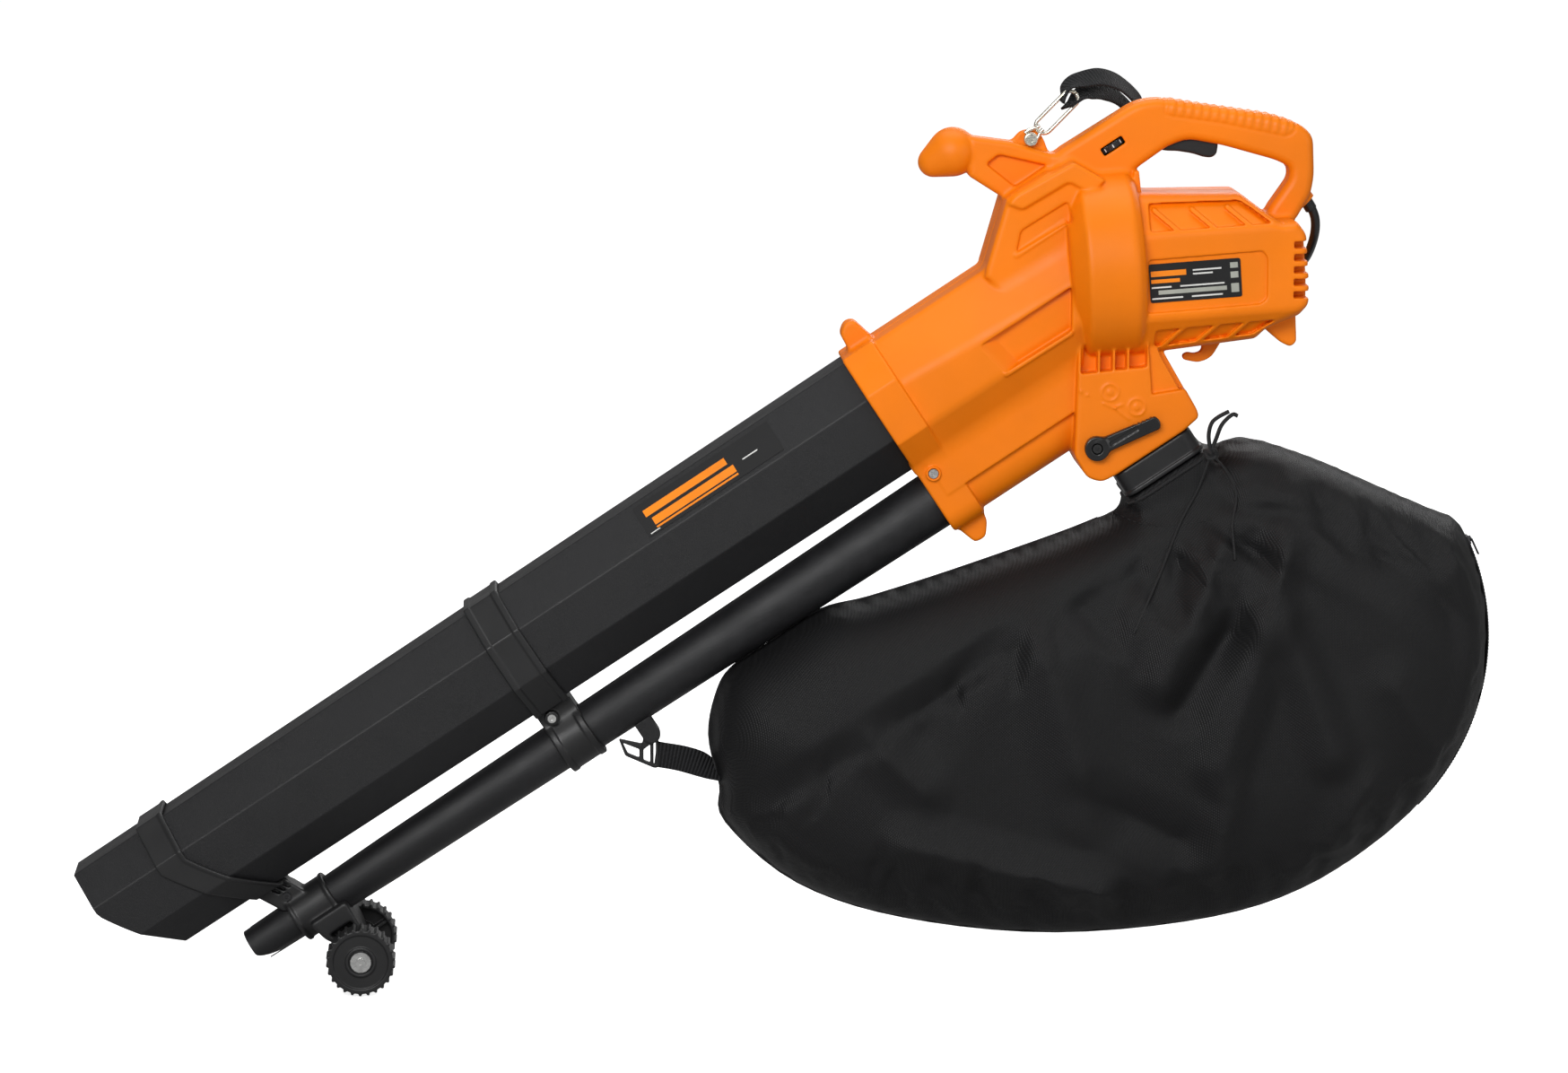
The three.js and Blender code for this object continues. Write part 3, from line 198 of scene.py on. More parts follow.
def woven_cloth(name, color, pitch):
    """Plain weave seen from the side: threads over and under in both directions."""
    n = Nodes(name)
    axes = n.add("SeparateXYZ")
    n.link(n.place(), axes.inputs[0])
    turn = math.pi / (pitch * MM)
    across = n.math("ADD", axes.outputs["X"], n.math("MULTIPLY", axes.outputs["Y"], 0.7))
    upright = n.math("ADD", axes.outputs["Z"], n.math("MULTIPLY", axes.outputs["Y"], 0.45))
    warp = n.math("SINE", n.math("MULTIPLY", across, turn))
    weft = n.math("SINE", n.math("MULTIPLY", upright, turn))
    over = n.math("MULTIPLY", warp, weft)
    threads = n.math("ADD", n.math("ABSOLUTE", warp), n.math("MULTIPLY", over, 0.5))
    fuzz = n.noise(1500.0, 3.0)
    patches = n.fade(n.noise(7.0, 3.0), 0.35, 0.65)
    shade = n.mix(patches, shifted(color, 0.85), shifted(color, 1.2))
    n.set("Base Color", n.mix(n.fade(over, -1.0, 1.0, 0.0, 0.5), shade, shifted(color, 2.2)))
    n.set("Roughness", n.fade(fuzz, 0.3, 0.7, 0.46, 0.62))
    n.set("Specular IOR Level", 0.24)
    n.bump(threads, 0.55, 0.0005)
    n.bump(fuzz, 0.3, 0.0004)
    return n.material


def ribbed_webbing(name, color, pitch):
    """Webbing: ribs across and fine threads along. Its length runs along U."""
    n = Nodes(name)
    axes = n.add("SeparateXYZ")
    n.link(n.place("UV"), axes.inputs[0])
    ribs = n.math("SINE", n.math("MULTIPLY", axes.outputs["X"], 2 * math.pi / pitch))
    threads = n.math("SINE", n.math("MULTIPLY", axes.outputs["Y"], 2 * math.pi / 1.1))
    weave = n.math("ADD", ribs, n.math("MULTIPLY", threads, 0.5))
    fluff = n.noise(1200.0, 3.0)
    n.set("Base Color", n.mix(n.fade(weave, -1.5, 1.5), shifted(color, 0.35), shifted(color, 3.2)))
    n.set("Roughness", n.fade(fluff, 0.3, 0.7, 0.6, 0.8))
    n.set("Specular IOR Level", 0.25)
    n.bump(weave, 0.9, 0.001)
    n.bump(fluff, 0.3, 0.0003)
    return n.material


def twisted_cord(name, color):
    """Twisted cord: strands that spiral along U."""
    n = Nodes(name)
    axes = n.add("SeparateXYZ")
    n.link(n.place("UV"), axes.inputs[0])
    twist = n.math("ADD", axes.outputs["X"], n.math("MULTIPLY", axes.outputs["Y"], 0.9))
    strands = n.math("SINE", n.math("MULTIPLY", twist, 2 * math.pi / 1.6))
    n.set("Base Color", n.mix(n.fade(strands, -1, 1), shifted(color, 0.5), shifted(color, 1.8)))
    n.set("Roughness", n.fade(n.noise(900.0), 0.3, 0.7, 0.55, 0.75))
    n.bump(strands, 0.8, 0.0005)
    return n.material


def wound_copper(name, color):
    """Motor windings and brass: bundles of wire with dark gaps."""
    n = Nodes(name)
    wires = n.noise(500.0, 1.0, (0.2, 1, 1))
    n.set("Base Color", n.mix(n.fade(wires, 0.4, 0.6), shifted(color, 0.4), color))
    n.set("Metallic", 0.9)
    n.set("Roughness", n.fade(n.noise(200.0), 0.3, 0.7, 0.3, 0.5))
    n.bump(wires, 0.6, 0.0005)
    return n.material


ORANGE = (0.87, 0.2, 0.001)
LOOK = {
    "orange_housing": plastic("orange_plastic", ORANGE, 0.45, 0.16, 1.12, 0.0, 0.25),
    "black_tube": plastic("black_tube_plastic", (0.0095, 0.0095, 0.0104), 0.44, 0.5, 2.4),
    "black_moulding": plastic("black_nylon", (0.0115, 0.0115, 0.012), 0.42, 0.3, 2.4, 0.1),
    "black_rubber": plastic("black_rubber", (0.009, 0.009, 0.010), 0.28, 0.1, 1.6, 0.4),
    "webbing": ribbed_webbing("webbing", (0.013, 0.013, 0.014), 3.2),
    "bag_cloth": woven_cloth("bag_cloth", (0.006, 0.006, 0.0064), 1.25),
    "cord_and_zip": twisted_cord("cord", (0.015, 0.015, 0.016)),
    "zinc": metal("zinc_plate", (0.78, 0.75, 0.66), 0.28, (1, 1, 3), (0.66, 0.6, 0.42)),
    "steel": metal("steel", (0.62, 0.62, 0.61), 0.3),
    "copper_parts": wound_copper("copper", (0.72, 0.36, 0.17)),
    "label": plastic("label_foil", (0.005, 0.005, 0.0055), 0.5, 0.04, 1.2),
    "circuit_board": plastic("circuit_board", (0.02, 0.14, 0.05), 0.35, 0.1),
}
GLOSS_BLACK = plastic("black_gloss", (0.009, 0.009, 0.0095), 0.3, 0.12, 1.8, 0.3)
PRINT_ORANGE = plastic("print_orange", (0.82, 0.22, 0.004), 0.4, 0.05)
PRINT_WHITE = plastic("print_white", (0.62, 0.62, 0.6), 0.4, 0.05)
PRINT_GREY = plastic("print_grey", (0.33, 0.34, 0.3), 0.4, 0.05)
DARK_METAL = metal("dark_metal", (0.09, 0.09, 0.095), 0.36)
ZIP_METAL = plastic("zip_teeth", (0.02, 0.02, 0.021), 0.3, 0.1, 1.8, 0.2)

CAD_SLOT = {part["node"]: part["material_slot"] for part in frame["record"]["subparts"]}


def dress_cad_nodes():
    """Every carried-over CAD node takes its slot's finish and soft edges."""
    for name, obj in frame["nodes"].items():
        obj.data.materials.clear()
        obj.data.materials.append(LOOK[CAD_SLOT[name]])
        bevel = obj.modifiers.new("soft_edges", "BEVEL")
        bevel.width = 0.35 * MM
        bevel.segments = 2
        bevel.limit_method = "ANGLE"
        bevel.harden_normals = True
        obj.data.shade_smooth()


# ---------------------------------------------------------------- distance fields
class Block:
    """Evenly spaced sample points in a box, in millimetres."""

    def __init__(self, low, high, step):
        self.low = np.array(low, np.float32)
        self.step = step
        counts = np.ceil((np.array(high) - self.low) / step).astype(int) + 1
        axes = [start + step * np.arange(count, dtype=np.float32) for start, count in zip(self.low, counts)]
        self.x = axes[0][:, None, None]
        self.y = axes[1][None, :, None]
        self.z = axes[2][None, None, :]
        self.shape = tuple(counts)


def join(a, b, soft=0.0):
    """Both shapes, with a fillet of about `soft` where they meet."""
    if not soft:
        return np.minimum(a, b)
    near = np.maximum(soft - np.abs(a - b), 0) / soft
    return np.minimum(a, b) - near * near * soft / 4


def meet(a, b, soft=0.0):
    """Only what lies in both shapes."""
    return -join(-a, -b, soft)


def cut(a, b, soft=0.0):
    """The first shape less the second."""
    return -join(-a, b, soft)


def extrude(flat, side, edge=0.0):
    """A flat field given thickness; `side` is the distance past its end faces, `edge` rounds the rim."""
    a, b = flat + edge, side + edge
    outside = np.hypot(np.maximum(a, 0), np.maximum(b, 0))
    return outside + np.minimum(np.maximum(a, b), 0) - edge


def sunk(body, region, depth, soft=1.5):
    """Body with its surface lowered by `depth` inside a region."""
    return meet(body, np.minimum(-region, body + depth), soft)


def raised(body, region, height, soft=0.8):
    """Body with its surface lifted by `height` inside a region."""
    return join(body, np.maximum(region, body - height), soft)


def rounded(corners, radius, steps=3):
    """Corner list [x, z] or [x, z, radius] with each corner turned into a short curve."""
    points = []
    for i, corner in enumerate(corners):
        here = Vector(corner[:2])
        own = corner[2] if len(corner) > 2 else radius
        before = Vector(corners[i - 1][:2])
        after = Vector(corners[(i + 1) % len(corners)][:2])
        reach = min(own, (before - here).length * 0.48, (after - here).length * 0.48)
        if reach <= 0:
            points.append(tuple(here))
            continue
        start = here.lerp(before, reach / (before - here).length)
        end = here.lerp(after, reach / (after - here).length)
        for k in range(steps + 1):
            share = k / steps
            points.append(tuple(start.lerp(here, share).lerp(here.lerp(end, share), share)))
    return points


def polygon(u, v, corners, radius=0.0):
    """Distance to a closed outline in the plane of u and v."""
    points = rounded(corners, radius) if radius else [corner[:2] for corner in corners]
    away = np.full(np.broadcast(u, v).shape, 1e12, np.float32)
    sign = np.ones(away.shape, np.float32)
    for (ax, az), (bx, bz) in zip(points, points[1:] + points[:1]):
        ex, ez = bx - ax, bz - az
        wx, wz = u - ax, v - az
        share = np.clip((wx * ex + wz * ez) / max(ex * ex + ez * ez, 1e-9), 0, 1)
        away = np.minimum(away, (wx - ex * share) ** 2 + (wz - ez * share) ** 2)
        above, below = v >= az, v < bz
        left = ex * wz > ez * wx
        crossed = (above & below & left) | (~above & ~below & ~left)
        sign = np.where(crossed, -sign, sign)
    return sign * np.sqrt(away)


def stroke(u, v, start, end, half):
    """Distance to a straight bar with round ends."""
    ex, ez = end[0] - start[0], end[1] - start[1]
    wx, wz = u - start[0], v - start[1]
    share = np.clip((wx * ex + wz * ez) / (ex * ex + ez * ez), 0, 1)
    return np.hypot(wx - ex * share, wz - ez * share) - half


def tapering(b, start, end, first, last, balls=8):
    """A bar with round ends in the middle plane, swept by a ball that changes size."""
    whole = None
    for k in range(balls + 1):
        share = k / balls
        x, z = (p + (q - p) * share for p, q in zip(start, end))
        ball = np.sqrt((b.x - x) ** 2 + (b.z - z) ** 2 + b.y**2) - first - (last - first) * share
        whole = ball if whole is None else join(whole, ball, 0.6)
    return whole


def disc(u, v, centre, radius):
    return np.hypot(u - centre[0], v - centre[1]) - radius


def plane(u, v, first, second):
    """Distance past the line through two points, positive on its left."""
    ex, ez = second[0] - first[0], second[1] - first[1]
    return ((v - first[1]) * ex - (u - first[0]) * ez) / math.hypot(ex, ez)


def octagon(y, n, width, height, facet, flat):
    """Distance to an upright octagon: half width, half height, side facet and top flat."""
    tall = np.abs(n)
    wide = np.abs(y)
    slope = ((wide - width) * (height - facet) + (tall - facet) * (width - flat)) / math.hypot(
        height - facet, width - flat
    )
    return np.maximum(np.maximum(wide - width, tall - height), slope)


def mesh_of(block, field, place, mirror=False):
    """Skin of a field, moved into the row frame."""
    grid = openvdb.FloatGrid(50.0)
    grid.copyFromArray(np.array(np.broadcast_to(field, block.shape), np.float32))
    points, quads = grid.convertToQuads(0.0)
    points = points * block.step + block.low
    if mirror:
        points[:, 1] *= -1
        quads = quads[:, ::-1]
    mesh = bpy.data.meshes.new("skin")
    mesh.from_pydata(points.tolist(), [], quads.tolist())
    mesh.transform(place)
    mesh.shade_smooth()
    return mesh


# ---------------------------------------------------------------- pieces
def piece(name, mesh, body, slot, *stands_for, look=None):
    """Puts a finished mesh into the scene, on its CAD body, in the place of CAD nodes."""
    obj = bpy.data.objects.new(name, mesh)
    bpy.context.scene.collection.objects.link(obj)
    if not mesh.materials:
        mesh.materials.append(look or LOOK[slot])
    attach(obj, body)
    if stands_for:
        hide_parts(*stands_for)
    return obj


def soften(obj, width, segments=3, angle=25):
    bevel = obj.modifiers.new("soft_edges", "BEVEL")
    bevel.width = width * MM
    bevel.segments = segments
    bevel.limit_method = "ANGLE"
    bevel.angle_limit = math.radians(angle)
    bevel.harden_normals = True
    return obj


def skin(rings, close_loop=False, cap=True):
    """Faces between equal rings of points."""
    count = len(rings[0])
    points = [tuple(p) for ring in rings for p in ring]
    faces = []
    spans = len(rings) if close_loop else len(rings) - 1
    for i in range(spans):
        a, b = i * count, ((i + 1) % len(rings)) * count
        for j in range(count):
            k = (j + 1) % count
            faces.append((a + j, b + j, b + k, a + k))
    if cap and not close_loop:
        faces.append(tuple(range(count)))
        faces.append(tuple(reversed(range((len(rings) - 1) * count, len(rings) * count))))
    return points, faces


def mesh_from(points, faces, place, smooth=True):
    mesh = bpy.data.meshes.new("surface")
    mesh.from_pydata(points, [], faces)
    mesh.transform(place)
    if sum(face.normal.dot(face.center - mesh.polygons[0].center) for face in mesh.polygons) < 0:
        mesh.flip_normals()
    if smooth:
        mesh.shade_smooth()
    return mesh


def curve_through(points, steps):
    """Smooth path through points, as Vectors."""
    ends = [points[0] * 2 - points[1], *points, points[-1] * 2 - points[-2]]
    path = []
    for i in range(len(points) - 1):
        p0, p1, p2, p3 = ends[i : i + 4]
        for k in range(steps):
            u = k / steps
            path.append(
                0.5
                * (
                    2 * p1
                    + (p2 - p0) * u
                    + (2 * p0 - 5 * p1 + 4 * p2 - p3) * u * u
                    + (3 * p1 - p0 - 3 * p2 + p3) * u**3
                )
            )
    path.append(points[-1].copy())
    return path


def sweep(path, across, section, place):
    """A section of [across, normal] points carried along a path, with U along it and V round it."""
    rings, lengths = [], [0.0]
    for i, point in enumerate(path):
        along = (path[min(i + 1, len(path) - 1)] - path[max(i - 1, 0)]).normalized()
        side = (across[i] - along * across[i].dot(along)).normalized()
        normal = along.cross(side)
        rings.append([point + side * a + normal * b for a, b in section])
        if i:
            lengths.append(lengths[-1] + (point - path[i - 1]).length)
    points, faces = skin(rings)
    mesh = bpy.data.meshes.new("sweep")
    mesh.from_pydata(points, [], faces)
    count = len(section)
    round_it = [0.0]
    for (a, b), (c, d) in zip(section, section[1:] + section[:1]):
        round_it.append(round_it[-1] + math.hypot(c - a, d - b))
    layer = mesh.uv_layers.new(name="flow")
    for face in mesh.polygons:
        seam = len(face.vertices) == 4 and {v % count for v in face.vertices} == {0, count - 1}
        for loop in face.loop_indices:
            vertex = mesh.loops[loop].vertex_index
            v = round_it[count] if seam and vertex % count == 0 else round_it[vertex % count]
            layer.data[loop].uv = (lengths[vertex // count], v)
    mesh.transform(place)
    mesh.shade_smooth()
    return mesh


def circle(radius, sides=12):
    turns = [2 * math.pi * i / sides for i in range(sides)]
    return [(radius * math.cos(turn), radius * math.sin(turn)) for turn in turns]


def cord_mesh(points, radius, place, steps=8, sides=12):
    path = curve_through([Vector(p) for p in points], steps)
    return sweep(path, [Vector((0.13, 1, 0.21))] * len(path), circle(radius, sides), place)


def band_section(width, thick):
    """Flat band with rounded long edges."""
    a, b = width / 2, thick / 2
    inner = a - b
    turns = [math.radians(t) for t in (-90, -45, 0, 45, 90)]
    right = [(inner + b * math.cos(turn), b * math.sin(turn)) for turn in turns]
    across = [(inner * k / 4, b) for k in (2, 0, -2)]
    left = [(-x, -z) for x, z in right]
    return right + across + left + [(-x, -z) for x, z in across]


def joined(meshes):
    """Several meshes as one, each keeping its materials."""
    objs = []
    for mesh in meshes:
        obj = bpy.data.objects.new("part", mesh)
        bpy.context.scene.collection.objects.link(obj)
        objs.append(obj)
    with bpy.context.temp_override(active_object=objs[0], selected_editable_objects=objs):
        bpy.ops.object.join()
    whole = objs[0].data
    bpy.data.objects.remove(objs[0])
    return whole


# ---------------------------------------------------------------- housing
DUCT_TOP = 60.0
LEFT, RIGHT = -1, 1

HANDLE_OUTLINE = [
    (-52, 98), (-46, 105, 3), (23, 148, 12), (44, 151, 9), (90, 143.5, 9), (145, 135.5, 9), (173, 126.5, 9),
    (184.5, 116, 8), (186, 79, 9), (183, 63, 5), (171, 42), (158, 30), (142, 40), (144, 50, 6), (158, 70, 9),
    (163.4, 78, 6), (163, 88, 6), (151, 94, 9), (103, 107.5, 9), (69, 114, 10), (51, 106.5, 3), (22, 86, 6),
    (12, 52), (-52, 52),
]
ARM_OUTLINE = [(-128, 117), (-90, 112), (-54, 101), (-34, 98), (-34, 58), (-96, 60), (-129, 81)]
ARM_POCKET = [(-113, 92, 3), (-102, 100.5, 3), (-58, 90.5, 3), (-86, 70.5, 3)]
GRIP_OUTLINE = [
    (50, 165), (48, 136, 4), (54, 134.5, 3), (100, 128), (158, 115.5, 4), (166, 119, 4), (170, 135),
    (175, 165),
]
LUG_OUTLINE = [(-96, 104), (-81, 121.5, 5), (-66, 122.5, 5), (-60, 113, 4), (-54, 96)]
WING_OUTLINE = [(-116, -8), (-115, 0, 3), (-97, 62, 3), (-60, 86), (-28, 84), (-28, -20), (-60, -60)]
BEAM_OUTLINE = [(-96, 58), (-91, 66, 4), (-37, 96, 3), (-8, 79.5), (-19, 68), (-32, 73), (-41, 78, 4),
                (-83, 53, 4)]
MOTOR_OUTLINE = [
    (18, 66), (115, 66.5, 3), (136, 50.5, 3), (149, 41.5, 3), (164, 43, 3), (172.5, 31, 4), (175.5, -12, 3),
    (175.5, -32, 4), (168, -43, 3), (140, -56, 3), (131, -66.5, 3), (18, -82),
]
FOOT_OUTLINE = [(128, -45), (139.5, -57), (155.5, -71, 3), (165, -75.5, 3), (170.5, -71, 3), (169, -38)]
BOX_OUTLINE = [
    (-31, -50), (-34, -171, 4), (-22.5, -191.5, 6), (-8.5, -195.5, 5), (4, -189), (66, -148.5),
    (79.5, -136.5, 4), (77.5, -129.5, 4), (68, -113, 3), (49, -80, 3), (36, -50),
]
CORD_HOOK = [
    (88, -66), (104, -64), (106, -71, 5), (96, -88, 6), (84, -92.5, 5), (70, -89.5, 2), (69, -85, 2),
    (74, -82.5), (80, -84, 3), (87, -81.5, 4), (87, -75),
]
SCREWS = ((-108, 88, 9), (30, 132, 9), (176, 98, 9), (-83, -141, 42), (160, -60, 16))


def tube_axes(b):
    dx, dz = b.x - COLLAR.x, b.z - COLLAR.z
    c, s = math.cos(TUBE_TILT), math.sin(TUBE_TILT)
    return dx * c + dz * s, dz * c - dx * s


def outlet_axes(b):
    dx, dz = b.x - OUTLET_AT.x, b.z - OUTLET_AT.z
    c, s = math.cos(TUBE_TILT), math.sin(TUBE_TILT)
    return dx * c + dz * s, dz * c - dx * s


def motor_axes(b):
    c, s = math.cos(MOTOR_TILT), math.sin(MOTOR_TILT)
    return b.x * c + b.z * s, b.z * c - b.x * s


def duct_core(b, t, n):
    """Octagonal duct from the collar to the fan; its side facet grows as it nears the fan."""
    facet = 21 - 0.067 * t
    height = DUCT_TOP - facet
    slope = ((b.y - 58) * height + (n - facet) * 28) / np.hypot(height, 28)
    under = ((b.y - 58) * 36 + (-26 - n) * 26) / math.hypot(36, 26)
    walls = meet(meet(b.y - 58, np.maximum(n - DUCT_TOP, -62 - n), 3), meet(slope, under), 3)
    return np.maximum(walls, np.maximum(-t, b.x + 26))


def fan_core(b):
    """Round fan case with a wide chamfer towards the duct and a narrow one towards the motor."""
    along, up = motor_axes(b)
    radius = np.hypot(b.y, up)
    front = ((-40 - along) * 22 + (radius - 63) * 14) / math.hypot(22, 14)
    rear = ((along - 26.5) + (radius - 77.5)) / math.sqrt(2)
    return meet(meet(radius - 85.5, np.maximum(along - 26.5, -40 - along), 3), meet(front, rear), 3)


def motor_core(b):
    """Motor case: flat sides with slanted panels above and below, and a round rear edge."""
    _, up = motor_axes(b)
    top = ((b.y - 64) * 39 + (up - 29) * 32) / math.hypot(39, 32)
    bottom = ((b.y - 64) * 34 + (-47 - up) * 30) / math.hypot(34, 30)
    section = meet(b.y - 64, meet(top, bottom), 3)
    return meet(section, polygon(b.x, b.z, MOTOR_OUTLINE, 1), 9)


def collar(b, t, n):
    """Flange that takes both tubes, with a finger tab above and below."""
    middle = np.abs(t - 13.5) - 16.5
    upper = extrude(octagon(b.y, n, 63, 62, 26, 33), middle, 2.5)
    low = extrude(np.abs(n + 84) - 25, b.y - 15) - 20
    lower = extrude(low, middle, 2.5)
    top_tab = extrude(polygon(t, n, [(6, 52), (8.5, 80), (17.5, 86.5), (26, 84), (34, 52)], 4), b.y - 12, 3)
    low_outline = [(-3, -118), (7, -149.5), (18, -150.5), (27.5, -138), (30, -118)]
    low_tab = extrude(polygon(t, n, low_outline, 4), b.y - 12, 3)
    tabs = join(top_tab, low_tab)
    return join(join(upper, lower, 6), tabs, 5)


def panel_ribs(b, panel, ribs):
    """A recessed panel's region, less the bars that cross it."""
    region = polygon(b.x, b.z, panel, 3)
    for start, end in ribs:
        region = np.maximum(region, -stroke(b.x, b.z, start, end, 2.2))
    return region


def motor_details(b, body):
    upper = panel_ribs(
        b,
        [(31, 34), (31, 58), (113, 61), (124, 54), (141, 41.5)],
        [((36, 52), (62, 30)), ((70, 53), (94, 33)), ((102, 55), (124, 37))],
    )
    lower = panel_ribs(
        b,
        [(38, -56), (146, -46.5), (134, -55), (127, -60), (38, -72)],
        [((64, -52), (40, -79)), ((95, -49), (71, -75)), ((123, -45), (100, -71))],
    )
    label = polygon(b.x, b.z, [(29, 9), (133, 17), (137, 10), (137, -26), (131, -31), (29, -39)], 3)
    body = sunk(sunk(body, upper, 4.5), lower, 4.0)
    body = sunk(body, np.maximum(label, 50 - b.y), 3.0)
    for i in range(5):
        level = 22 - 11.25 * i
        slot = np.maximum(np.abs(b.z - level) - 3.0, np.maximum(161 - b.x, 40 - b.y))
        body = cut(body, slot, 1.5)
    return body


def duct_details(b, body):
    window = polygon(b.x, b.z, [(-121, -68), (-39, -15), (-39, -57), (-97, -93)], 3)
    floor = plane(b.x, b.z, (-97, -93), (-121, -68))
    ramp = np.clip(9 - 0.6 * np.maximum(14 - np.abs(floor), 0), 0.8, 9)
    body = meet(body, np.minimum(-window, body + ramp), 2.5)
    lip = stroke(b.x, b.z, (-98, -94), (-40, -57.5), 2.2)
    body = raised(body, np.maximum(lip, 40 - b.y), 1.6, 2)
    wing = polygon(b.x, b.z, [(-84, 34), (-42, 60), (-38, 43), (-88, 13)], 3)
    body = sunk(body, np.maximum(wing, 25 - b.y), 3.0, 2.5)
    ridge = stroke(b.x, b.z, (-88, 12), (-44, 41), 2)
    return raised(body, np.maximum(ridge, 25 - b.y), 1.2, 2)


def box_details(b, body):
    """Raised generic marks that show the lever's two ends."""
    outside = 38 - b.y
    for centre in ((-2.3, -112.8), (22.1, -126.4)):
        ring = np.abs(disc(b.x, b.z, centre, 7.6)) - 0.7
        body = raised(body, np.maximum(ring, outside), 0.9)
        body = raised(body, np.maximum(disc(b.x, b.z, centre, 2.6), outside), 0.9)
    for start, end in (((-8, -123), (3, -128)), ((3, -128), (15, -137.5)), ((2, -127), (9, -124))):
        body = raised(body, np.maximum(stroke(b.x, b.z, start, end, 0.9), outside), 0.8)
    for centre in ((-29, -112), (-23, -115)):
        body = raised(body, np.maximum(disc(b.x, b.z, centre, 1.3), outside), 0.8)
    return body


def grip_ribs(b, body):
    """Padded grip over the top of the handle: a thin groove round it and soft waves across it."""
    panel = polygon(b.x, b.z, GRIP_OUTLINE, 3)
    wave = 0.45 + 0.55 * np.sin((b.x * 0.99 - b.z * 0.15) * 2 * math.pi / 8.0)
    groove = 0.8 * np.exp(-((panel / 1.3) ** 2))
    return body - np.clip(-panel / 4, 0, 1) * wave + groove


def box_core(b):
    """Diverter box with a stepped-back rear part and a ribbed pocket under the fan case."""
    body = extrude(polygon(b.x, b.z, BOX_OUTLINE, 1), b.y - 45, 3.5)
    step = polygon(b.x, b.z, [(31, -50), (36, -115), (80, -108), (70, -50)])
    body = sunk(body, np.maximum(step, 30 - b.y), 5, 2)
    pocket = polygon(b.x, b.z, [(-29, -50), (-29, -96), (31, -90), (31, -50)], 2)
    for x in (-12.5, 1, 14):
        pocket = np.maximum(pocket, -(np.abs(b.x - x) - 1.2))
    return cut(body, np.maximum(pocket, 30 - b.y), 1.5)


def housing_core(b):
    """Large volumes of the housing, before details; the hollow follows them."""
    t, n = tube_axes(b)
    duct = duct_core(b, t, n)
    wing = extrude(polygon(b.x, b.z, WING_OUTLINE), b.y - 42, 5)
    channel = np.maximum(np.hypot(b.y, n + 97.5) - 29.8, np.maximum(-t, b.x + 31))
    web = np.maximum(np.maximum(b.y - 36, np.abs(n + 72) - 22), np.maximum(10 - t, b.x + 33))
    front = join(join(duct, wing, 4), join(channel, web, 4), 6)
    front = join(front, fan_core(b), 2.5)
    return join(join(front, motor_core(b), 2), box_core(b), 2)


def housing_shell(b):
    """The housing as both halves share it: large volumes, details, hollow and openings."""
    t, n = tube_axes(b)
    u, v = outlet_axes(b)
    core = housing_core(b)
    body = duct_details(b, core)
    body = motor_details(b, body)
    body = box_details(b, body)
    hollow = body + 3.2
    beam = extrude(polygon(b.x, b.z, BEAM_OUTLINE, 2), b.y - 46, 3)
    body = join(body, beam, 3)
    body = join(body, collar(b, t, n), 1.5)
    handle_flat = polygon(b.x, b.z, HANDLE_OUTLINE, 2)
    handle = grip_ribs(b, extrude(handle_flat, b.y - 17, 8))
    knob = tapering(b, (-142.5, 102.2), (-160.5, 93), 22.4, 13.7)
    arm = extrude(polygon(b.x, b.z, ARM_OUTLINE, 2), b.y - 15, 5)
    arm = sunk(arm, np.maximum(polygon(b.x, b.z, ARM_POCKET, 3), 2 - b.y), 7, 3)
    lug = extrude(polygon(b.x, b.z, LUG_OUTLINE, 3), b.y - 5, 1.5)
    foot = extrude(polygon(b.x, b.z, FOOT_OUTLINE, 2), b.y - 24, 3)
    body = join(body, join(arm, handle, 5), 5)
    body = join(join(body, knob, 3), join(foot, lug, 1), 4)
    flange = extrude(polygon(b.x, b.z, [(20, 60), (20, 85), (25, 86), (28, 60)], 1), b.y - 20, 1)
    body = join(body, flange, 2)
    rim = extrude(extrude(np.abs(u) - 27.5, b.y - 28.5) - 10, np.abs(v - 1) - 3.5, 1)
    body = join(body, rim, 2)

    along, _ = motor_axes(b)
    hollow = np.maximum(hollow, 1.5 - np.abs(along - 20))
    hollow = join(hollow, np.maximum(handle_flat + 3.2, b.y - 13.5))
    hollow = np.maximum(hollow, 4 - np.hypot(b.x - 30, b.z - 132))
    body = cut(body, hollow)
    mouth = np.abs(t - 8) - 19
    body = cut(body, np.maximum(octagon(b.y, n, 52.6, 59, 22.4, 26.4), mouth), 1)
    body = cut(body, np.maximum(np.hypot(b.y, n + 97.5) - 27.7, mouth), 1)
    body = cut(body, np.maximum(extrude(np.abs(u) - 26, b.y - 27) - 9, np.abs(v - 3) - 9))
    body = cut(body, extrude(polygon(b.x, b.z, [(44, 95), (45, 116), (105, 123), (105, 97)], 2), b.y - 8), 1)
    body = cut(body, disc(b.x, b.z, (FLAP_PIVOT.x, FLAP_PIVOT.z), 5.6), 0.5)
    body = cut(body, np.maximum(disc(b.x, b.z, (STRAP_PIVOT.x, STRAP_PIVOT.z), 2.8), b.y - 12))
    down, off = (b.x - b.z - 122) / math.sqrt(2), (b.x + b.z - 236) / math.sqrt(2)
    body = join(body, np.maximum(np.hypot(b.y, off) - 9, np.abs(down + 4) - 7), 3)
    return cut(body, np.maximum(np.hypot(b.y, off) - 4.8, np.abs(down) - 16), 0.8)


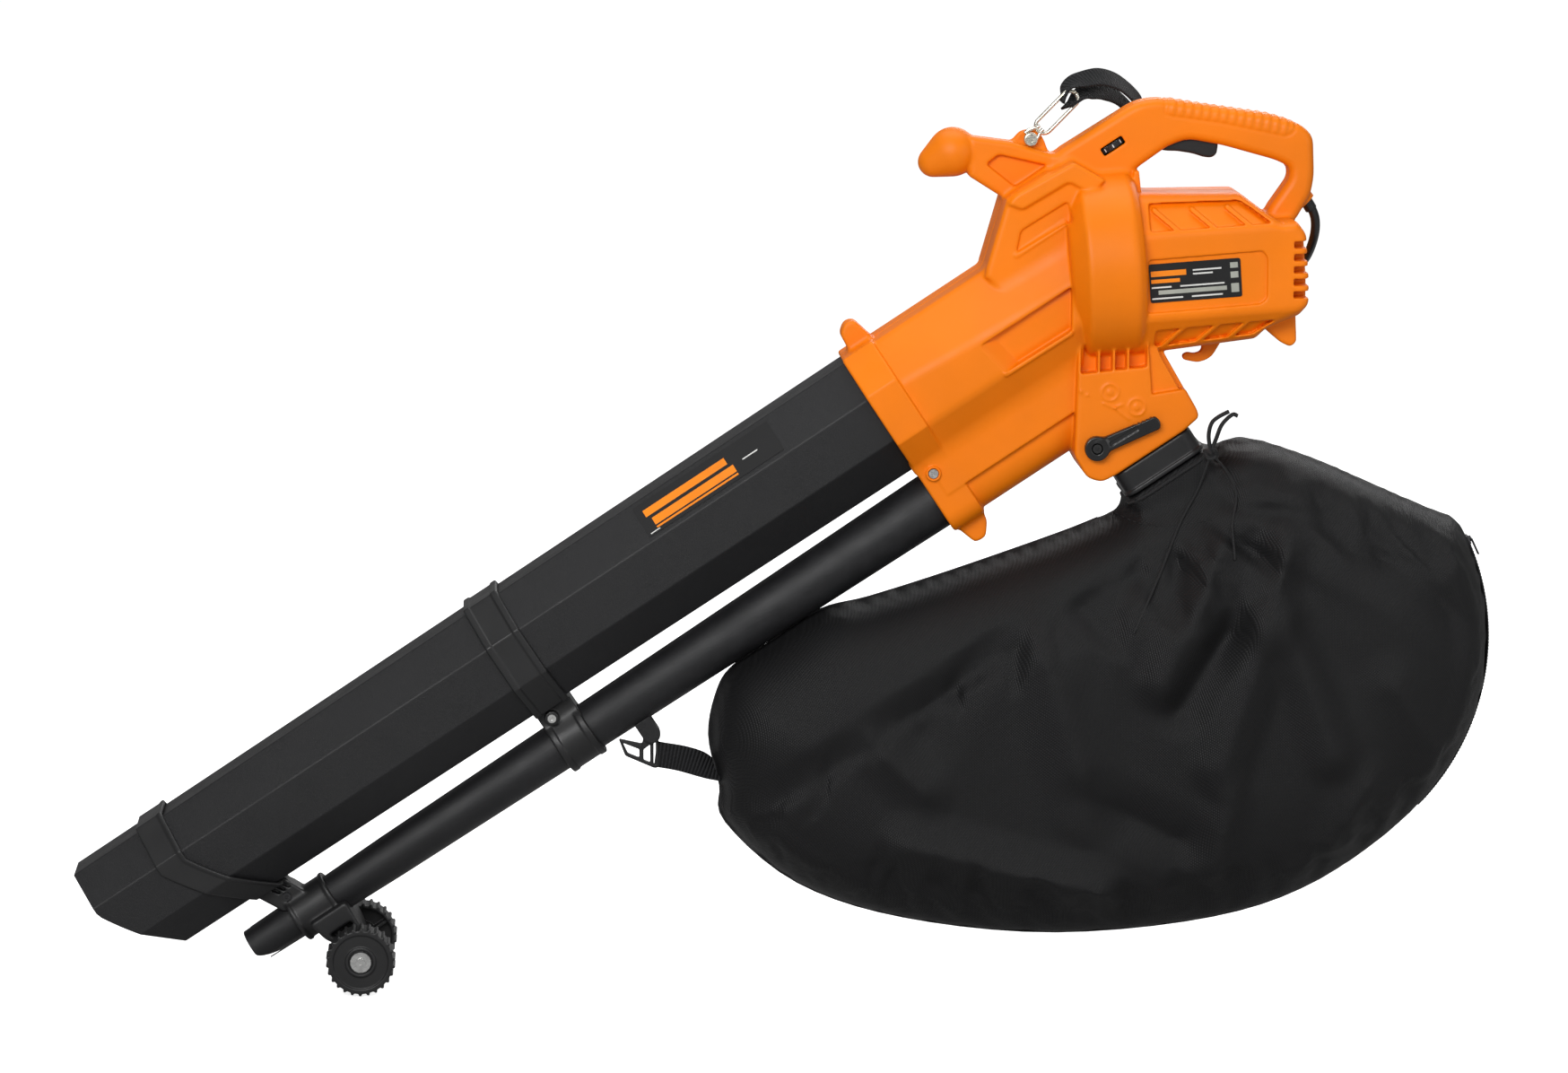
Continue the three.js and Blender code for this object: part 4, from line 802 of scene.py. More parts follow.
def housing_half(b, body, side):
    """One half of the housing, cut on the middle plane, with what only that side has."""
    if side == RIGHT:
        hook = extrude(polygon(b.x, b.z, CORD_HOOK, 2), np.abs(b.y - 5) - 4, 1.2)
        body = join(body, hook, 1.5)
        for x, z, depth in SCREWS:
            boss = extrude(disc(b.x, b.z, (x, z), 7), np.abs(b.y - depth + 4) - 4)
            body = join(body, boss)
            body = cut(body, np.maximum(disc(b.x, b.z, (x, z), 4.6), depth - b.y), 0.8)
            body = cut(body, disc(b.x, b.z, (x, z), 2.3))
    else:
        c, s = math.cos(DIAL["tilt"]), math.sin(DIAL["tilt"])
        dx, dz = b.x - DIAL["x"], b.z - DIAL["z"]
        slot = extrude(np.abs(dx * c + dz * s) - 11.3, np.abs(dz * c - dx * s) - 3.8)
        body = cut(body, np.maximum(slot, 8 - b.y), 0.8)
        t, n = tube_axes(b)
        t_screw = np.hypot(t - 10, n + 70)
        body = join(body, np.maximum(t_screw - 6.8, np.abs(b.y - 34.5) - 4.5), 1.5)
        body = cut(body, np.maximum(t_screw - 4.9, 35.2 - b.y), 0.4)
        body = cut(body, np.maximum(t_screw - 2.2, 20 - b.y))
    body = meet(body, 0.15 - b.y, 0.6)
    mesh = mesh_of(b, body, HEAD, mirror=side == LEFT)
    name = "left" if side == LEFT else "right"
    piece(f"shell_{name}", mesh, "machine", "orange_housing", f"housing_{name}")


def add_housing():
    b = Block((-262, -1.1, -262), (194, 90, 158), 1.2)
    body = housing_shell(b)
    housing_half(b, body, LEFT)
    housing_half(b, body, RIGHT)


# ---------------------------------------------------------------- tubes
JOINT_GAP = 0.15


def octagon_ring(t_of, half_width, half_height, facet=22.0, flat=26.0):
    """Ring of points round the suction tube; `t_of` gives the place along the tube at each height."""
    half = [(half_width, facet * k / 4) for k in (-4, -3, -2, -1, 0, 1, 2, 3, 4)]
    top = [(flat, half_height), (-flat, half_height)]
    ring = half + top + [(-y, -n) for y, n in half] + [(-y, -n) for y, n in top]
    return [(t_of(n), y, n) for y, n in ring]


def shell_of(outer, inner, place):
    """Open tube with a wall: outer skin, inner skin and a rim at both ends."""
    return mesh_from(*skin([*outer, *reversed(inner)], close_loop=True), place)


def suction_height(t):
    return 54 + 4 * (t - SUCTION["mouth"]) / (SUCTION["end"] - SUCTION["mouth"])


def nozzle_edge(n):
    """The nozzle is square at the top and cut back in a curve below."""
    below = max(0.0, 14 - n)
    return SUCTION["mouth"] - 0.09 * max(0.0, n - 35) + 0.52 * below + 0.0028 * below * below


def square_end(place):
    """An end that lies at the same place all the way round."""
    return lambda n: place


def suction_skin(start, end, inward):
    """Rings of one suction tube from a shaped start to a square end, `inward` from its outside."""
    rings = []
    first = start(0)
    for k in range(9):
        share = k / 8
        level = suction_height(first + (end - first) * share)
        ring = octagon_ring(start, 52 - inward, level - inward, 22 - inward * 0.4, 26 - inward * 0.4)
        rings.append([(t + (end - t) * share, y, n) for t, y, n in ring])
    return rings


def add_suction_tubes():
    for name, start, end, edge in (
        ("lower", nozzle_edge, SUCTION["joint"] - JOINT_GAP, 2.0),
        ("upper", square_end(SUCTION["joint"] + JOINT_GAP), SUCTION["end"], 2.2),
    ):
        mesh = shell_of(suction_skin(start, end, 0.0), suction_skin(start, end, 2.4), TUBE)
        obj = piece(f"suction_{name}", mesh, "machine", "black_tube", f"suction_tube_{name}")
        soften(obj, edge, 4, 30)


def blower_ring(t_of, radius, sides=48):
    level = BLOWER["level"]
    return [(t_of(level + n), y, level + n) for y, n in circle(radius, sides)]


def blower_skin(stations, inward):
    return [blower_ring(t_of, radius - inward) for t_of, radius in stations]


def blower_mouth(n):
    """The blower tube's end is square, with its lowest part swept back."""
    below = max(0.0, BLOWER["level"] - 4 - n)
    return BLOWER["mouth"] + 0.16 * below * below


def blower_taper(n):
    """Where the lower tube's narrow end meets its taper."""
    return blower_mouth(n) + 40


def add_blower_tubes():
    joint_radius = 20 + 7.2 * (BLOWER["joint"] - BLOWER["neck"]) / (BLOWER["end"] - BLOWER["neck"])
    stations = [
        (blower_mouth, 16.5),
        (blower_taper, 17.5),
        (square_end(BLOWER["neck"]), 20.0),
        (square_end(BLOWER["joint"] - JOINT_GAP), joint_radius),
    ]
    mesh = shell_of(*[blower_skin(stations, inward) for inward in (0.0, 2.2)], TUBE)
    soften(piece("blower_lower", mesh, "machine", "black_tube", "blower_tube_lower"), 0.7, 2, 50)
    stations = [(square_end(BLOWER["joint"] + JOINT_GAP), joint_radius), (square_end(BLOWER["end"]), 27.2)]
    tube = shell_of(*[blower_skin(stations, inward) for inward in (0.0, 2.2)], TUBE)
    seams = []
    spans = ((-745, -600, 16.7, 20), (-600, -398, 20, joint_radius), (-398, 0, joint_radius, 26.8))
    for start, end, r_start, r_end in spans:
        for side in (1, -1):
            a = Vector((start, 0, BLOWER["level"] + side * r_start))
            z = Vector((end, 0, BLOWER["level"] + side * r_end))
            seams.append(sweep([a, z], [Vector((0, 1, 0))] * 2, band_section(2.2, 0.9), TUBE))
    lug = Block((-352, -12, -148), (-324, 12, -118), 0.6)
    cheeks = np.abs(np.abs(lug.y) - 8) - 2
    wide = extrude(disc(lug.x, lug.z, (-338, -134), 8.3), cheeks, 0.8)
    root = extrude(np.maximum(np.abs(lug.x + 338) - 8.3, np.abs(lug.z + 126) - 8), cheeks, 0.8)
    peg = np.maximum(disc(lug.x, lug.z, (-338, -134), 3.6), np.abs(lug.y) - 9)
    fork = meet(join(join(wide, root), peg), 22.2 - np.hypot(lug.y, lug.z - BLOWER["level"]))
    whole = joined([tube, mesh_of(lug, fork, TUBE)])
    soften(piece("blower_upper", whole, "machine", "black_tube", "blower_tube_upper"), 0.6, 2, 50)
    piece("blower_parting_lines", joined(seams), "machine", "black_tube")


def add_coupling():
    """Band round both tubes at their joints, with raised rims and a screw boss."""
    b = Block((-421, -60, -127), (-375, 60, 66), 0.8)
    mid = np.abs(b.x + 398)
    main = octagon(b.y, b.z, 55.5, 59.5, 23, 27)
    low = np.hypot(b.y, b.z - BLOWER["level"]) - 26.8
    web = np.maximum(np.abs(b.y) - 16, np.abs(b.z + 70) - 16)
    solid = extrude(join(join(main, low, 8), web, 6), mid - 18, 1)
    for level in (-412.5, -383.5):
        rim = extrude(join(main, low, 8) - 1.1, np.abs(b.x - level) - 3, 0.8)
        solid = join(solid, rim, 1)
    boss = np.maximum(np.hypot(b.x + 404, b.z + 68) - 6.4, np.maximum(-24 - b.y, b.y))
    solid = join(solid, boss, 2)
    bore = octagon(b.y, b.z, 52.2, 56.5, 22.2, 26.2)
    low_bore = np.hypot(b.y, b.z - BLOWER["level"]) - 23.6
    solid = cut(cut(solid, bore), low_bore)
    solid = cut(solid, np.maximum(np.hypot(b.x + 404, b.z + 68) - 2.2, b.y + 8))
    piece("coupling", mesh_of(b, solid, TUBE), "machine", "black_moulding", "tube_coupling")


def add_bracket():
    """Nozzle band, ribbed bridge, clamp round the blower tube, and the fork that carries the axle."""
    b = Block((-782, -60, -166), (-652, 60, 62), 1.0)
    lean = b.x - 0.55 * np.maximum(14 - b.z, 0) - 0.0028 * np.maximum(14 - b.z, 0) ** 2
    band = octagon(b.y, b.z, 55.2, 58.4, 23, 27)
    front, rear = -776, -748
    solid = extrude(band, np.abs(lean - (front + rear) / 2) - 14, 1)
    rim = extrude(band - 0.9, np.abs(lean - rear + 2) - 2, 0.7)
    solid = join(solid, rim, 1)
    bridge = polygon(b.x, b.z, [(-726, -52), (-694, -52), (-677, -90), (-705, -92)], 3)
    bridge = extrude(bridge, np.abs(b.y) - 13, 2)
    for k in range(4):
        at = -709 + 5.5 * k
        groove = np.maximum(stroke(b.x, b.z, (at, -57), (at + 6, -66), 1.3), 9 - np.abs(b.y))
        bridge = cut(bridge, groove, 0.5)
    from_blower = np.hypot(b.y, b.z - BLOWER["level"])
    clamp = extrude(from_blower - 22.6, np.abs(b.x + 684) - 21, 1.5)
    for level in (-703, -665):
        clamp = join(clamp, extrude(from_blower - 23.8, np.abs(b.x - level) - 2, 0.8), 0.8)
    fork_side = [(-694, -104), (-655, -104), (-656, -130), (-660, -149), (-665, -161, 4), (-676, -161, 4),
                 (-681, -149), (-681, -138), (-690, -124)]
    fork = extrude(polygon(b.x, b.z, fork_side, 4), np.abs(b.y) - 30, 2.5)
    waist = polygon(b.x, b.z, [(-684, -122), (-660, -122), (-664, -140), (-677, -140)], 3)
    fork = cut(fork, np.maximum(12 - np.abs(np.abs(b.y) - 4), waist), 1.5)
    hub = extrude(np.hypot(b.x - WHEEL["t"], b.z - WHEEL["n"]) - 8.2, np.abs(b.y) - 36.4, 1)
    solid = join(join(solid, bridge, 4), clamp, 3)
    solid = join(join(solid, fork, 4), hub, 2)
    bore = octagon(b.y, b.z, 52.2, 55.2, 22.3, 26.3)
    solid = cut(solid, bore)
    solid = cut(solid, from_blower - (20.2 + (b.x + 600) * 0.0158))
    solid = cut(solid, np.hypot(b.x - WHEEL["t"], b.z - WHEEL["n"]) - 5.3)
    solid = cut(solid, np.maximum(np.hypot(b.x + 699, b.z + 73) - 2.2, b.y - 6))
    piece("bracket", mesh_of(b, solid, TUBE), "machine", "black_moulding", "nozzle_bracket")


def add_wheels():
    """Two toothed wheels with a dished outer face; each turns on the axle."""
    b = Block((-36, -15, -36), (36, 15, 36), 0.7)
    r = np.hypot(b.x, b.z)
    angle = np.arctan2(b.z, b.x)
    tooth = np.cos(angle * WHEEL["teeth"]) * 2.6
    rim = meet(r - WHEEL["radius"] + 0.3, r - WHEEL["root"] - np.clip(tooth, 0, 2.6), 0.6)
    body = extrude(rim, np.abs(b.y) - 12.7, 1.0)
    body = sunk(body, np.maximum(np.abs(r - 19.5) - 5.5, b.y + 9), 1.6, 1)
    body = cut(body, np.maximum(r - 11, b.y + 10.6), 0.5)
    body = cut(body, np.maximum(np.abs(r - 20) - 7, 3 - b.y), 1)
    spokes = np.minimum(np.abs(b.x), np.abs(b.z)) - 1.3
    body = join(body, np.maximum(np.maximum(spokes, np.abs(r - 20) - 8), np.abs(b.y - 6) - 5), 1)
    body = cut(body, r - 5.4)
    for name, side in (("left", -1), ("right", 1)):
        place = TUBE @ Matrix.Translation((WHEEL["t"], side * WHEEL["middle"], WHEEL["n"]))
        turn = Matrix.Rotation(0.0 if side < 0 else math.pi, 4, "Z")
        mesh = mesh_of(b, body, place @ turn)
        piece(f"toothed_wheel_{name}", mesh, f"wheel_{name}", "black_moulding", f"wheel_{name}")


# ---------------------------------------------------------------- controls
def add_trigger():
    b = Block((40, -9, 88), (104, 9, 122), 0.6)
    outline = [(44, 108), (45.5, 103.4, 2), (52, 102.4, 2), (61, 102.2, 3), (75, 100, 4), (86, 96.4, 4),
               (93, 96, 4), (97.4, 99.4, 3), (98.5, 108, 2), (97, 114.5), (70, 114.5), (50, 113.5)]
    body = extrude(polygon(b.x, b.z, outline, 2), np.abs(b.y) - 7.3, 2.4)
    body = cut(body, disc(b.x, b.z, (TRIGGER_PIVOT.x, TRIGGER_PIVOT.z), 2.4))
    piece("trigger_lever", mesh_of(b, body, HEAD), "trigger", "black_moulding", "trigger")


def add_dial():
    """Speed dial: fine knurled rim with a few plain white strokes."""
    b = Block((-15, -15, -8), (15, 15, 8), 0.45)
    r = np.hypot(b.x, b.y)
    knurl = 13.1 + 0.3 * np.cos(np.arctan2(b.y, b.x) * 44)
    body = extrude(r - knurl, np.abs(b.z) - 2.9, 0.5)
    body = join(body, np.maximum(r - 2, np.abs(b.z) - 5.8))
    place = HEAD @ Matrix.Translation((DIAL["x"], -4.4, DIAL["z"])) @ Matrix.Rotation(-DIAL["tilt"], 4, "Y")
    wheel = mesh_of(b, body, place)
    wheel.materials.append(GLOSS_BLACK)
    parts = [wheel]
    for k in range(-4, 5):
        out = place @ Matrix.Rotation(k * math.radians(36), 4, "Z") @ Matrix.Translation((0, -13.5, 0))
        parts.append(flat_bar((-0.5, -1.5), (0.5, 1.5), out, PRINT_WHITE))
    piece("dial_wheel", joined(parts), "speed_dial", "black_moulding", "speed_dial")


def add_lever():
    """Diverter lever with a round boss, a slanted groove and serrations towards its tip."""
    b = Block((-14, -56, -14), (66, -43, 14), 0.6)
    face = np.abs(b.y + 50) - 4.3
    arm = polygon(b.x, b.z, [(0, -7), (60, -6.4, 3), (62.5, 0, 3), (60, 6.4, 3), (0, 7)], 2)
    arm = extrude(arm, face + 0.6, 1.6)
    boss = extrude(np.hypot(b.x, b.z) - 11.2, face - 0.3, 1.2)
    body = join(arm, boss, 3)
    body = cut(body, np.maximum(np.hypot(b.x, b.z) - 5, b.y + 50.2), 0.8)
    groove = np.maximum(stroke(b.x, b.z, (14, -1), (40, 2.4), 1.8), b.y + 53)
    body = cut(body, groove, 0.8)
    for k in range(5):
        body = cut(body, np.hypot(b.x - 42 - 4.0 * k, b.z - 7.4) - 1.7, 0.4)
    body = cut(body, np.hypot(b.x, b.z) - 2.3)
    place = HEAD @ leaning(FLAP_PIVOT, LEVER_TILT)
    piece("lever", mesh_of(b, body, place), "diverter", "black_moulding", "diverter_lever", look=GLOSS_BLACK)


# ---------------------------------------------------------------- labels
def flat_bar(low, high, place, look, lift=0.0):
    """Thin rectangular patch lying in the first and third axes, facing the second axis's minus side."""
    (x0, z0), (x1, z1) = low, high
    corners = [(x0, z0), (x1, z0), (x1, z1), (x0, z1)]
    points = [(x, -lift, z) for x, z in corners] + [(x, -lift + 0.12, z) for x, z in corners]
    faces = [(0, 1, 2, 3), (7, 6, 5, 4), (0, 4, 5, 1), (1, 5, 6, 2), (2, 6, 7, 3), (3, 7, 4, 0)]
    mesh = bpy.data.meshes.new("bar")
    mesh.from_pydata(points, [], faces)
    mesh.transform(place)
    mesh.materials.append(look)
    return mesh


def bars(look, place, *corners):
    """Printed bars that stand just proud of a plate, each from its low corner to its high one."""
    return [flat_bar(low, high, place, look, 0.05) for low, high in corners]


def label_plate(width, height, thick, place, radius=2.0):
    outline = rounded([(-width / 2, -height / 2), (width / 2, -height / 2), (width / 2, height / 2),
                       (-width / 2, height / 2)], radius)
    rings = [[(x, y, z) for x, z in outline] for y in (0.0, thick)]
    mesh = mesh_from(*skin(rings), place, smooth=False)
    mesh.materials.append(LOOK["label"])
    return mesh


def add_rating_plate():
    """Black plate on the motor case. Plain bars stand where a real one has its data."""
    place = MOTOR @ Matrix.Translation((71, -62.0, -14.5))
    parts = [label_plate(83, 35, 0.8, place)]
    parts += bars(PRINT_ORANGE, place, ((-40, 6), (-8, 11)), ((-40, 0), (-14, 3.4)))
    parts += bars(PRINT_WHITE, place, ((-2, 9), (24, 10.4)), ((-2, 5.6), (16, 7)), ((-40, -4.6), (-22, -3.2)))
    parts += bars(PRINT_WHITE, place, ((-14, -4.6), (26, -3.2)), ((-40, -14.6), (-12, -13.2)))
    parts += bars(PRINT_WHITE, place, ((-4, -14.6), (24, -13.2)))
    parts += bars(PRINT_GREY, place, ((-34, -10.4), (28, -6.6)), ((32, 9), (39, 14)), ((32, 0), (39, 5.6)))
    parts += bars(PRINT_GREY, place, ((32, -13), (39, -5)))
    piece("rating_label", joined(parts), "machine", "label", "rating_plate")


def add_tube_label():
    """Dark plate along the upper slanted facet, with plain orange and white bars."""
    slope = math.atan2(suction_height(-160) - 22, 52 - 26)
    middle = Vector((-163, -(52 + 26) / 2, (suction_height(-160) + 22) / 2))
    out = Vector((0, -math.sin(slope), math.cos(slope)))
    tip = Matrix.Translation(middle + out * 0.55) @ Matrix.Rotation(slope - math.pi / 2, 4, "X")
    place = TUBE @ tip
    parts = [label_plate(146, 34, 0.5, place, 1.5)]
    parts += bars(PRINT_ORANGE, place, ((-66, 2), (22, 9.5)), ((-62, -9.5), (26, -1.5)))
    parts += bars(PRINT_ORANGE, place, ((-62, -13.2), (26, -11.2)))
    parts += bars(PRINT_WHITE, place, ((36, -3), (52, -1.8)), ((-70, -15.2), (-60, -14.2)))
    piece("tube_plate", joined(parts), "machine", "label", "tube_label")


# ---------------------------------------------------------------- cable and strap hardware
def add_cable():
    path = [(172, 0, 64), (183, 3, 54), (190.5, 8, 38), (191, 20, 18), (186, 44, -4), (172, 68, -18),
            (142, 79, -22), (110, 80.5, -27), (84, 80.5, -40)]
    piece("cable", cord_mesh(path, 4.2, HEAD, 10, 16), "machine", "black_rubber", "power_cable")
    sleeve = [(175, 1, 61.5), (180, 2.4, 57), (186, 5, 48)]
    piece("cable_sleeve", cord_mesh(sleeve, 5.6, HEAD, 6, 16), "machine", "black_rubber", "cable_boot")


def add_plug():
    """Round moulded plug with two pins, lying behind the motor case."""
    b = Block((-40, -20, -20), (26, 20, 20), 0.7)
    r = np.hypot(b.y, b.z)
    profile = [(-18, -1), (-18, 15, 2), (-6, 15, 4), (8, 10.5, 6), (22, 6, 2), (22, -1)]
    body = polygon(b.x, r, profile, 0.5)
    grip = np.maximum(np.abs(r - 15.2) - 0.8, np.abs(np.abs(b.x + 12) - 2.5) - 1)
    body = cut(body, grip, 0.6)
    pins = np.maximum(np.hypot(np.abs(b.y) - 9.5, b.z) - 2.4, np.abs(b.x + 27) - 9.5)
    place = HEAD @ Matrix.Translation((62, 80.5, -54)) @ Matrix.Rotation(-0.55, 4, "Y")
    piece("plug", mesh_of(b, join(body, pins), place), "machine", "black_rubber", "mains_plug")


def add_link():
    """Bent wire link: an eye at the screw, two wires to a throat, then a long ring for the strap."""
    y = -9.3
    ring = []
    for k in range(25):
        angle = 2 * math.pi * k / 24
        out = 16.5 if math.cos(angle) > 0 else -16.5
        along, side = out + 7.4 * math.cos(angle), 7.4 * math.sin(angle)
        ring.append((23.4 + (along - side) * math.sqrt(0.5), y, 24.6 + (along + side) * math.sqrt(0.5)))
    path = [Vector(p) + STRAP_PIVOT for p in ring]
    loop = sweep(path, [Vector((0, 1, 0))] * len(path), circle(1.75), HEAD)
    wires = []
    for side in (-1, 1):
        points = [
            (-1 + 4.6 * side, y, 1 - 4.6 * side), (2 + 4.0 * side, y, 5 - 3.6 * side),
            (7 + 2.0 * side, y, 9 - 2.0 * side), (9.5 + 1.6 * side, y, 11 - 1.6 * side),
        ]
        wires.append(cord_mesh([Vector(p) + STRAP_PIVOT for p in points], 1.75, HEAD, 6))
    turns = [k * math.pi / 8 for k in range(17)]
    eye = [Vector((5.0 * math.cos(turn), y, 5.0 * math.sin(turn))) + STRAP_PIVOT for turn in turns]
    wires.append(sweep(eye, [Vector((0, 1, 0))] * len(eye), circle(1.7), HEAD))
    piece("wire_link", joined([loop, *wires]), "shoulder_strap", "zinc", "strap_link")


def ribbon(name, stations, width, thick, body, *stands_for):
    """Webbing through stations of a point and the direction of its width."""
    path = curve_through([Vector(s[:3]) for s in stations], 8)
    across = curve_through([Vector(s[3:]) for s in stations], 8)
    mesh = sweep(path, across, band_section(width, thick), HEAD)
    return piece(name, mesh, body, "webbing", *stands_for)


def add_shoulder_strap():
    """Two layers that arch over the handle root and hang in one long loop behind the fan case."""
    stations = [
        (-44, -7, 147, 0, 1, 0), (-42.5, -7, 153, 0, 1, 0.1), (-38, -4, 160.5, 0, 1, 0.3),
        (-26, 3, 166, 0, 1, 0.5), (-6, 12, 168, 0, 1, 0.6), (14, 26, 160, 0, 1, 0.6),
        (32, 47, 141, 0.2, 1, 0.5), (32, 70, 119, 0.6, 0.8, 0.3), (20, 92, 94, 1, 0.4, 0),
        (4, 104, 58, 1, 0.1, 0), (-4, 107, 10, 1, 0, 0), (-4, 107, -50, 1, 0, 0),
        (-4, 105.5, -70, 1, 0, 0), (-4, 102.2, -77, 1, 0, 0), (-4, 99, -70, 1, 0, 0),
        (-4, 97.5, -50, 1, 0, 0), (-4, 97, 10, 1, 0, 0), (2, 92, 58, 1, 0.1, 0),
        (13, 77, 92, 1, 0.4, 0), (24, 57, 115, 0.6, 0.8, 0.3), (24, 41, 133, 0.2, 1, 0.5),
        (9, 27, 149, 0, 1, 0.6), (-9, 14, 155.5, 0, 1, 0.6), (-24, 3, 153, 0, 1, 0.4),
        (-34, -4, 146.5, 0, 1, 0.1), (-40, -7, 142.5, 0, 1, 0),
    ]
    ribbon("strap_webbing", stations, 25, 2.3, "shoulder_strap", "shoulder_strap")


# ---------------------------------------------------------------- bag
BAG_OUTLINE = [
    (92, -200), (102, -172), (122, -164), (152, -170), (202, -188.5), (251, -210.5), (300, -232), (326, -246),
    (347, -300), (352.7, -370), (334.5, -442.5), (285, -512), (202, -574), (104, -608), (-44, -621),
    (-184, -605), (-282, -571), (-347, -514), (-352, -480), (-362, -433), (-354, -392), (-340, -371),
    (-310, -351.5), (-262, -320.5), (-217, -309), (-143, -286), (-44, -252), (2, -234),
]
BAG_DEPTH = 82.0
NECK = Vector((60, 0, -205))

# Long folds of the cloth: start, end, half width, height.
RIDGES = (
    ((104, -225), (42, -372), 34, 12), ((150, -255), (134, -328), 30, 10),
    ((134, -328), (96, -450), 34, 13), ((152, -318), (196, -440), 32, 11),
    ((104, -478), (92, -556), 30, 8), ((-182, -522), (-12, -566), 38, 11),
    ((-256, -388), (-172, -472), 34, 7), ((-80, -292), (-22, -480), 46, 10),
    ((238, -262), (320, -330), 40, -8), ((60, -400), (100, -330), 28, -9),
    ((-120, -330), (-170, -420), 40, -6), ((230, -470), (180, -560), 34, 7),
    ((-20, -480), (60, -520), 36, -8), ((250, -380), (290, -440), 36, 6),
)


def bag_fold(x, z):
    """Height of the cloth's folds: fine pleats that fan out from the gathered neck, and the long ridges."""
    dx, dz = x - NECK.x, z - NECK.z
    away = np.hypot(dx, dz)
    turn = np.arctan2(dz, dx)
    fan = np.sin(turn * 13 + 0.012 * away) + 0.5 * np.sin(turn * 27 - 0.02 * away)
    height = fan * 5 * np.exp(-away / 110) * np.clip((away - 25) / 40, 0, 1)
    height = height + 3 * np.sin(x / 83) * np.sin(z / 71 + 1.3) + 1.5 * np.sin(x / 37 + z / 51)
    for (x0, z0), (x1, z1), half, rise in RIDGES:
        ex, ez = x1 - x0, z1 - z0
        share = np.clip(((x - x0) * ex + (z - z0) * ez) / (ex * ex + ez * ez), 0, 1)
        off = np.hypot(x - x0 - ex * share, z - z0 - ez * share)
        height = height + 1.5 * rise * np.maximum(1 - off / half, 0) ** 1.5
    return height


def bag_rim():
    """Side outline of the bag as a smooth closed line."""
    line = curve_through([Vector(p) for p in BAG_OUTLINE + BAG_OUTLINE[:1]], 3)
    return [tuple(p) for p in line][:-1]


def bag_surface():
    """The filled bag before the cloth is let go: two panels sewn along one rim, and a square neck."""
    b = Block((-382, -116, -640), (376, 116, -135), 5.0)
    flat = polygon(b.x, b.z, bag_rim())
    rise = np.clip(-flat / 118, 0, 1)
    depth = 5 + BAG_DEPTH * np.sqrt(np.maximum(1 - (1 - rise) ** 2.2, 0))
    panels = meet((np.abs(b.y) - depth) * 0.8, np.broadcast_to(flat - 3.5, b.shape), 3)
    u, v = outlet_axes(b)
    pucker = 1.6 * np.sin(np.arctan2(b.y, u) * 26)
    section = extrude(np.abs(u) - 30, np.abs(b.y) - 31) - 12 - pucker * np.clip((-v - 30) / 10, 0, 1)
    neck = extrude(section, np.abs(v + 62) - 34)
    return mesh_of(b, join(panels, neck, 22), HEAD)


def inflate(obj, held):
    """Lets the cloth settle under air pressure with some points held; gives how far each point went."""
    rest = np.array([v.co for v in obj.data.vertices])
    group = obj.vertex_groups.new(name="held")
    group.add([int(i) for i in np.nonzero(held)[0]], 1.0, "REPLACE")
    cloth = obj.modifiers.new("air", "CLOTH")
    settings = cloth.settings
    settings.quality = 5
    settings.mass = 0.25
    settings.tension_stiffness = 12
    settings.compression_stiffness = 6
    settings.shear_stiffness = 5
    settings.bending_stiffness = 0.6
    settings.air_damping = 2
    settings.use_pressure = True
    settings.uniform_pressure_force = 4
    settings.shrink_min = -0.07
    settings.vertex_group_mass = "held"
    settings.effector_weights.gravity = 0
    cloth.point_cache.frame_start = 1
    cloth.point_cache.frame_end = 20
    scene = bpy.context.scene
    for step in range(1, 21):
        scene.frame_set(step)
    settled = obj.evaluated_get(bpy.context.evaluated_depsgraph_get())
    moved = np.array([v.co for v in settled.to_mesh().vertices])
    settled.to_mesh_clear()
    obj.modifiers.remove(cloth)
    scene.frame_set(1)
    return moved - rest


def add_bag():
    mesh = bag_surface()
    obj = piece("bag_cloth", mesh, "bag", "bag_cloth", "bag")
    co = np.array([v.co for v in mesh.vertices])
    local = (co - np.array(FAN_CENTRE)) / MM
    x, y, z = local.T
    v = (z - OUTLET_AT.z) * math.cos(TUBE_TILT) - (x - OUTLET_AT.x) * math.sin(TUBE_TILT)
    inwards = -polygon(x, z, bag_rim())
    free = np.clip((inwards - 4) / 30, 0, 1) * np.clip((-62 - v) / 30, 0, 1)
    offset = inflate(obj, free == 0)
    length = np.linalg.norm(offset, axis=1)
    offset *= np.minimum(1, 11 * MM / np.maximum(length, 1e-9))[:, None]
    co += offset * free[:, None]
    side = np.sign(y)
    fold = np.where(side < 0, bag_fold(x, z), bag_fold(x - 34, z + 15))
    swell = np.clip((inwards - 6) / 44, 0, 1) * np.clip((-50 - v) / 30, 0, 1)
    reach = np.abs(co[:, 1] - FAN_CENTRE[1]) / MM * (1 - 0.14 * swell) + fold * swell
    reach = np.where(reach > 94, 94 + 12 * np.tanh((reach - 94) / 20), reach)
    co[:, 1] = FAN_CENTRE[1] + side * reach * MM
    mesh.vertices.foreach_set("co", co.astype(np.float32).ravel())
    mesh.update()
    smooth = obj.modifiers.new("even", "SMOOTH")
    smooth.factor = 0.5
    smooth.iterations = 1
    finer = obj.modifiers.new("finer", "SUBSURF")
    finer.levels = 1
    finer.render_levels = 1
    return obj


def surface_point(bag, x, z, side, lift):
    """The bag's outside at a place seen from one side, in the HEAD axes."""
    start = HEAD @ Vector((x, side * 300, z))
    found, where, normal, _ = bag.ray_cast(start, Vector((0, -side, 0)))
    if not found:
        return Vector((x, side * 20, z))
    return HEAD.inverted() @ (where + normal * lift * MM)


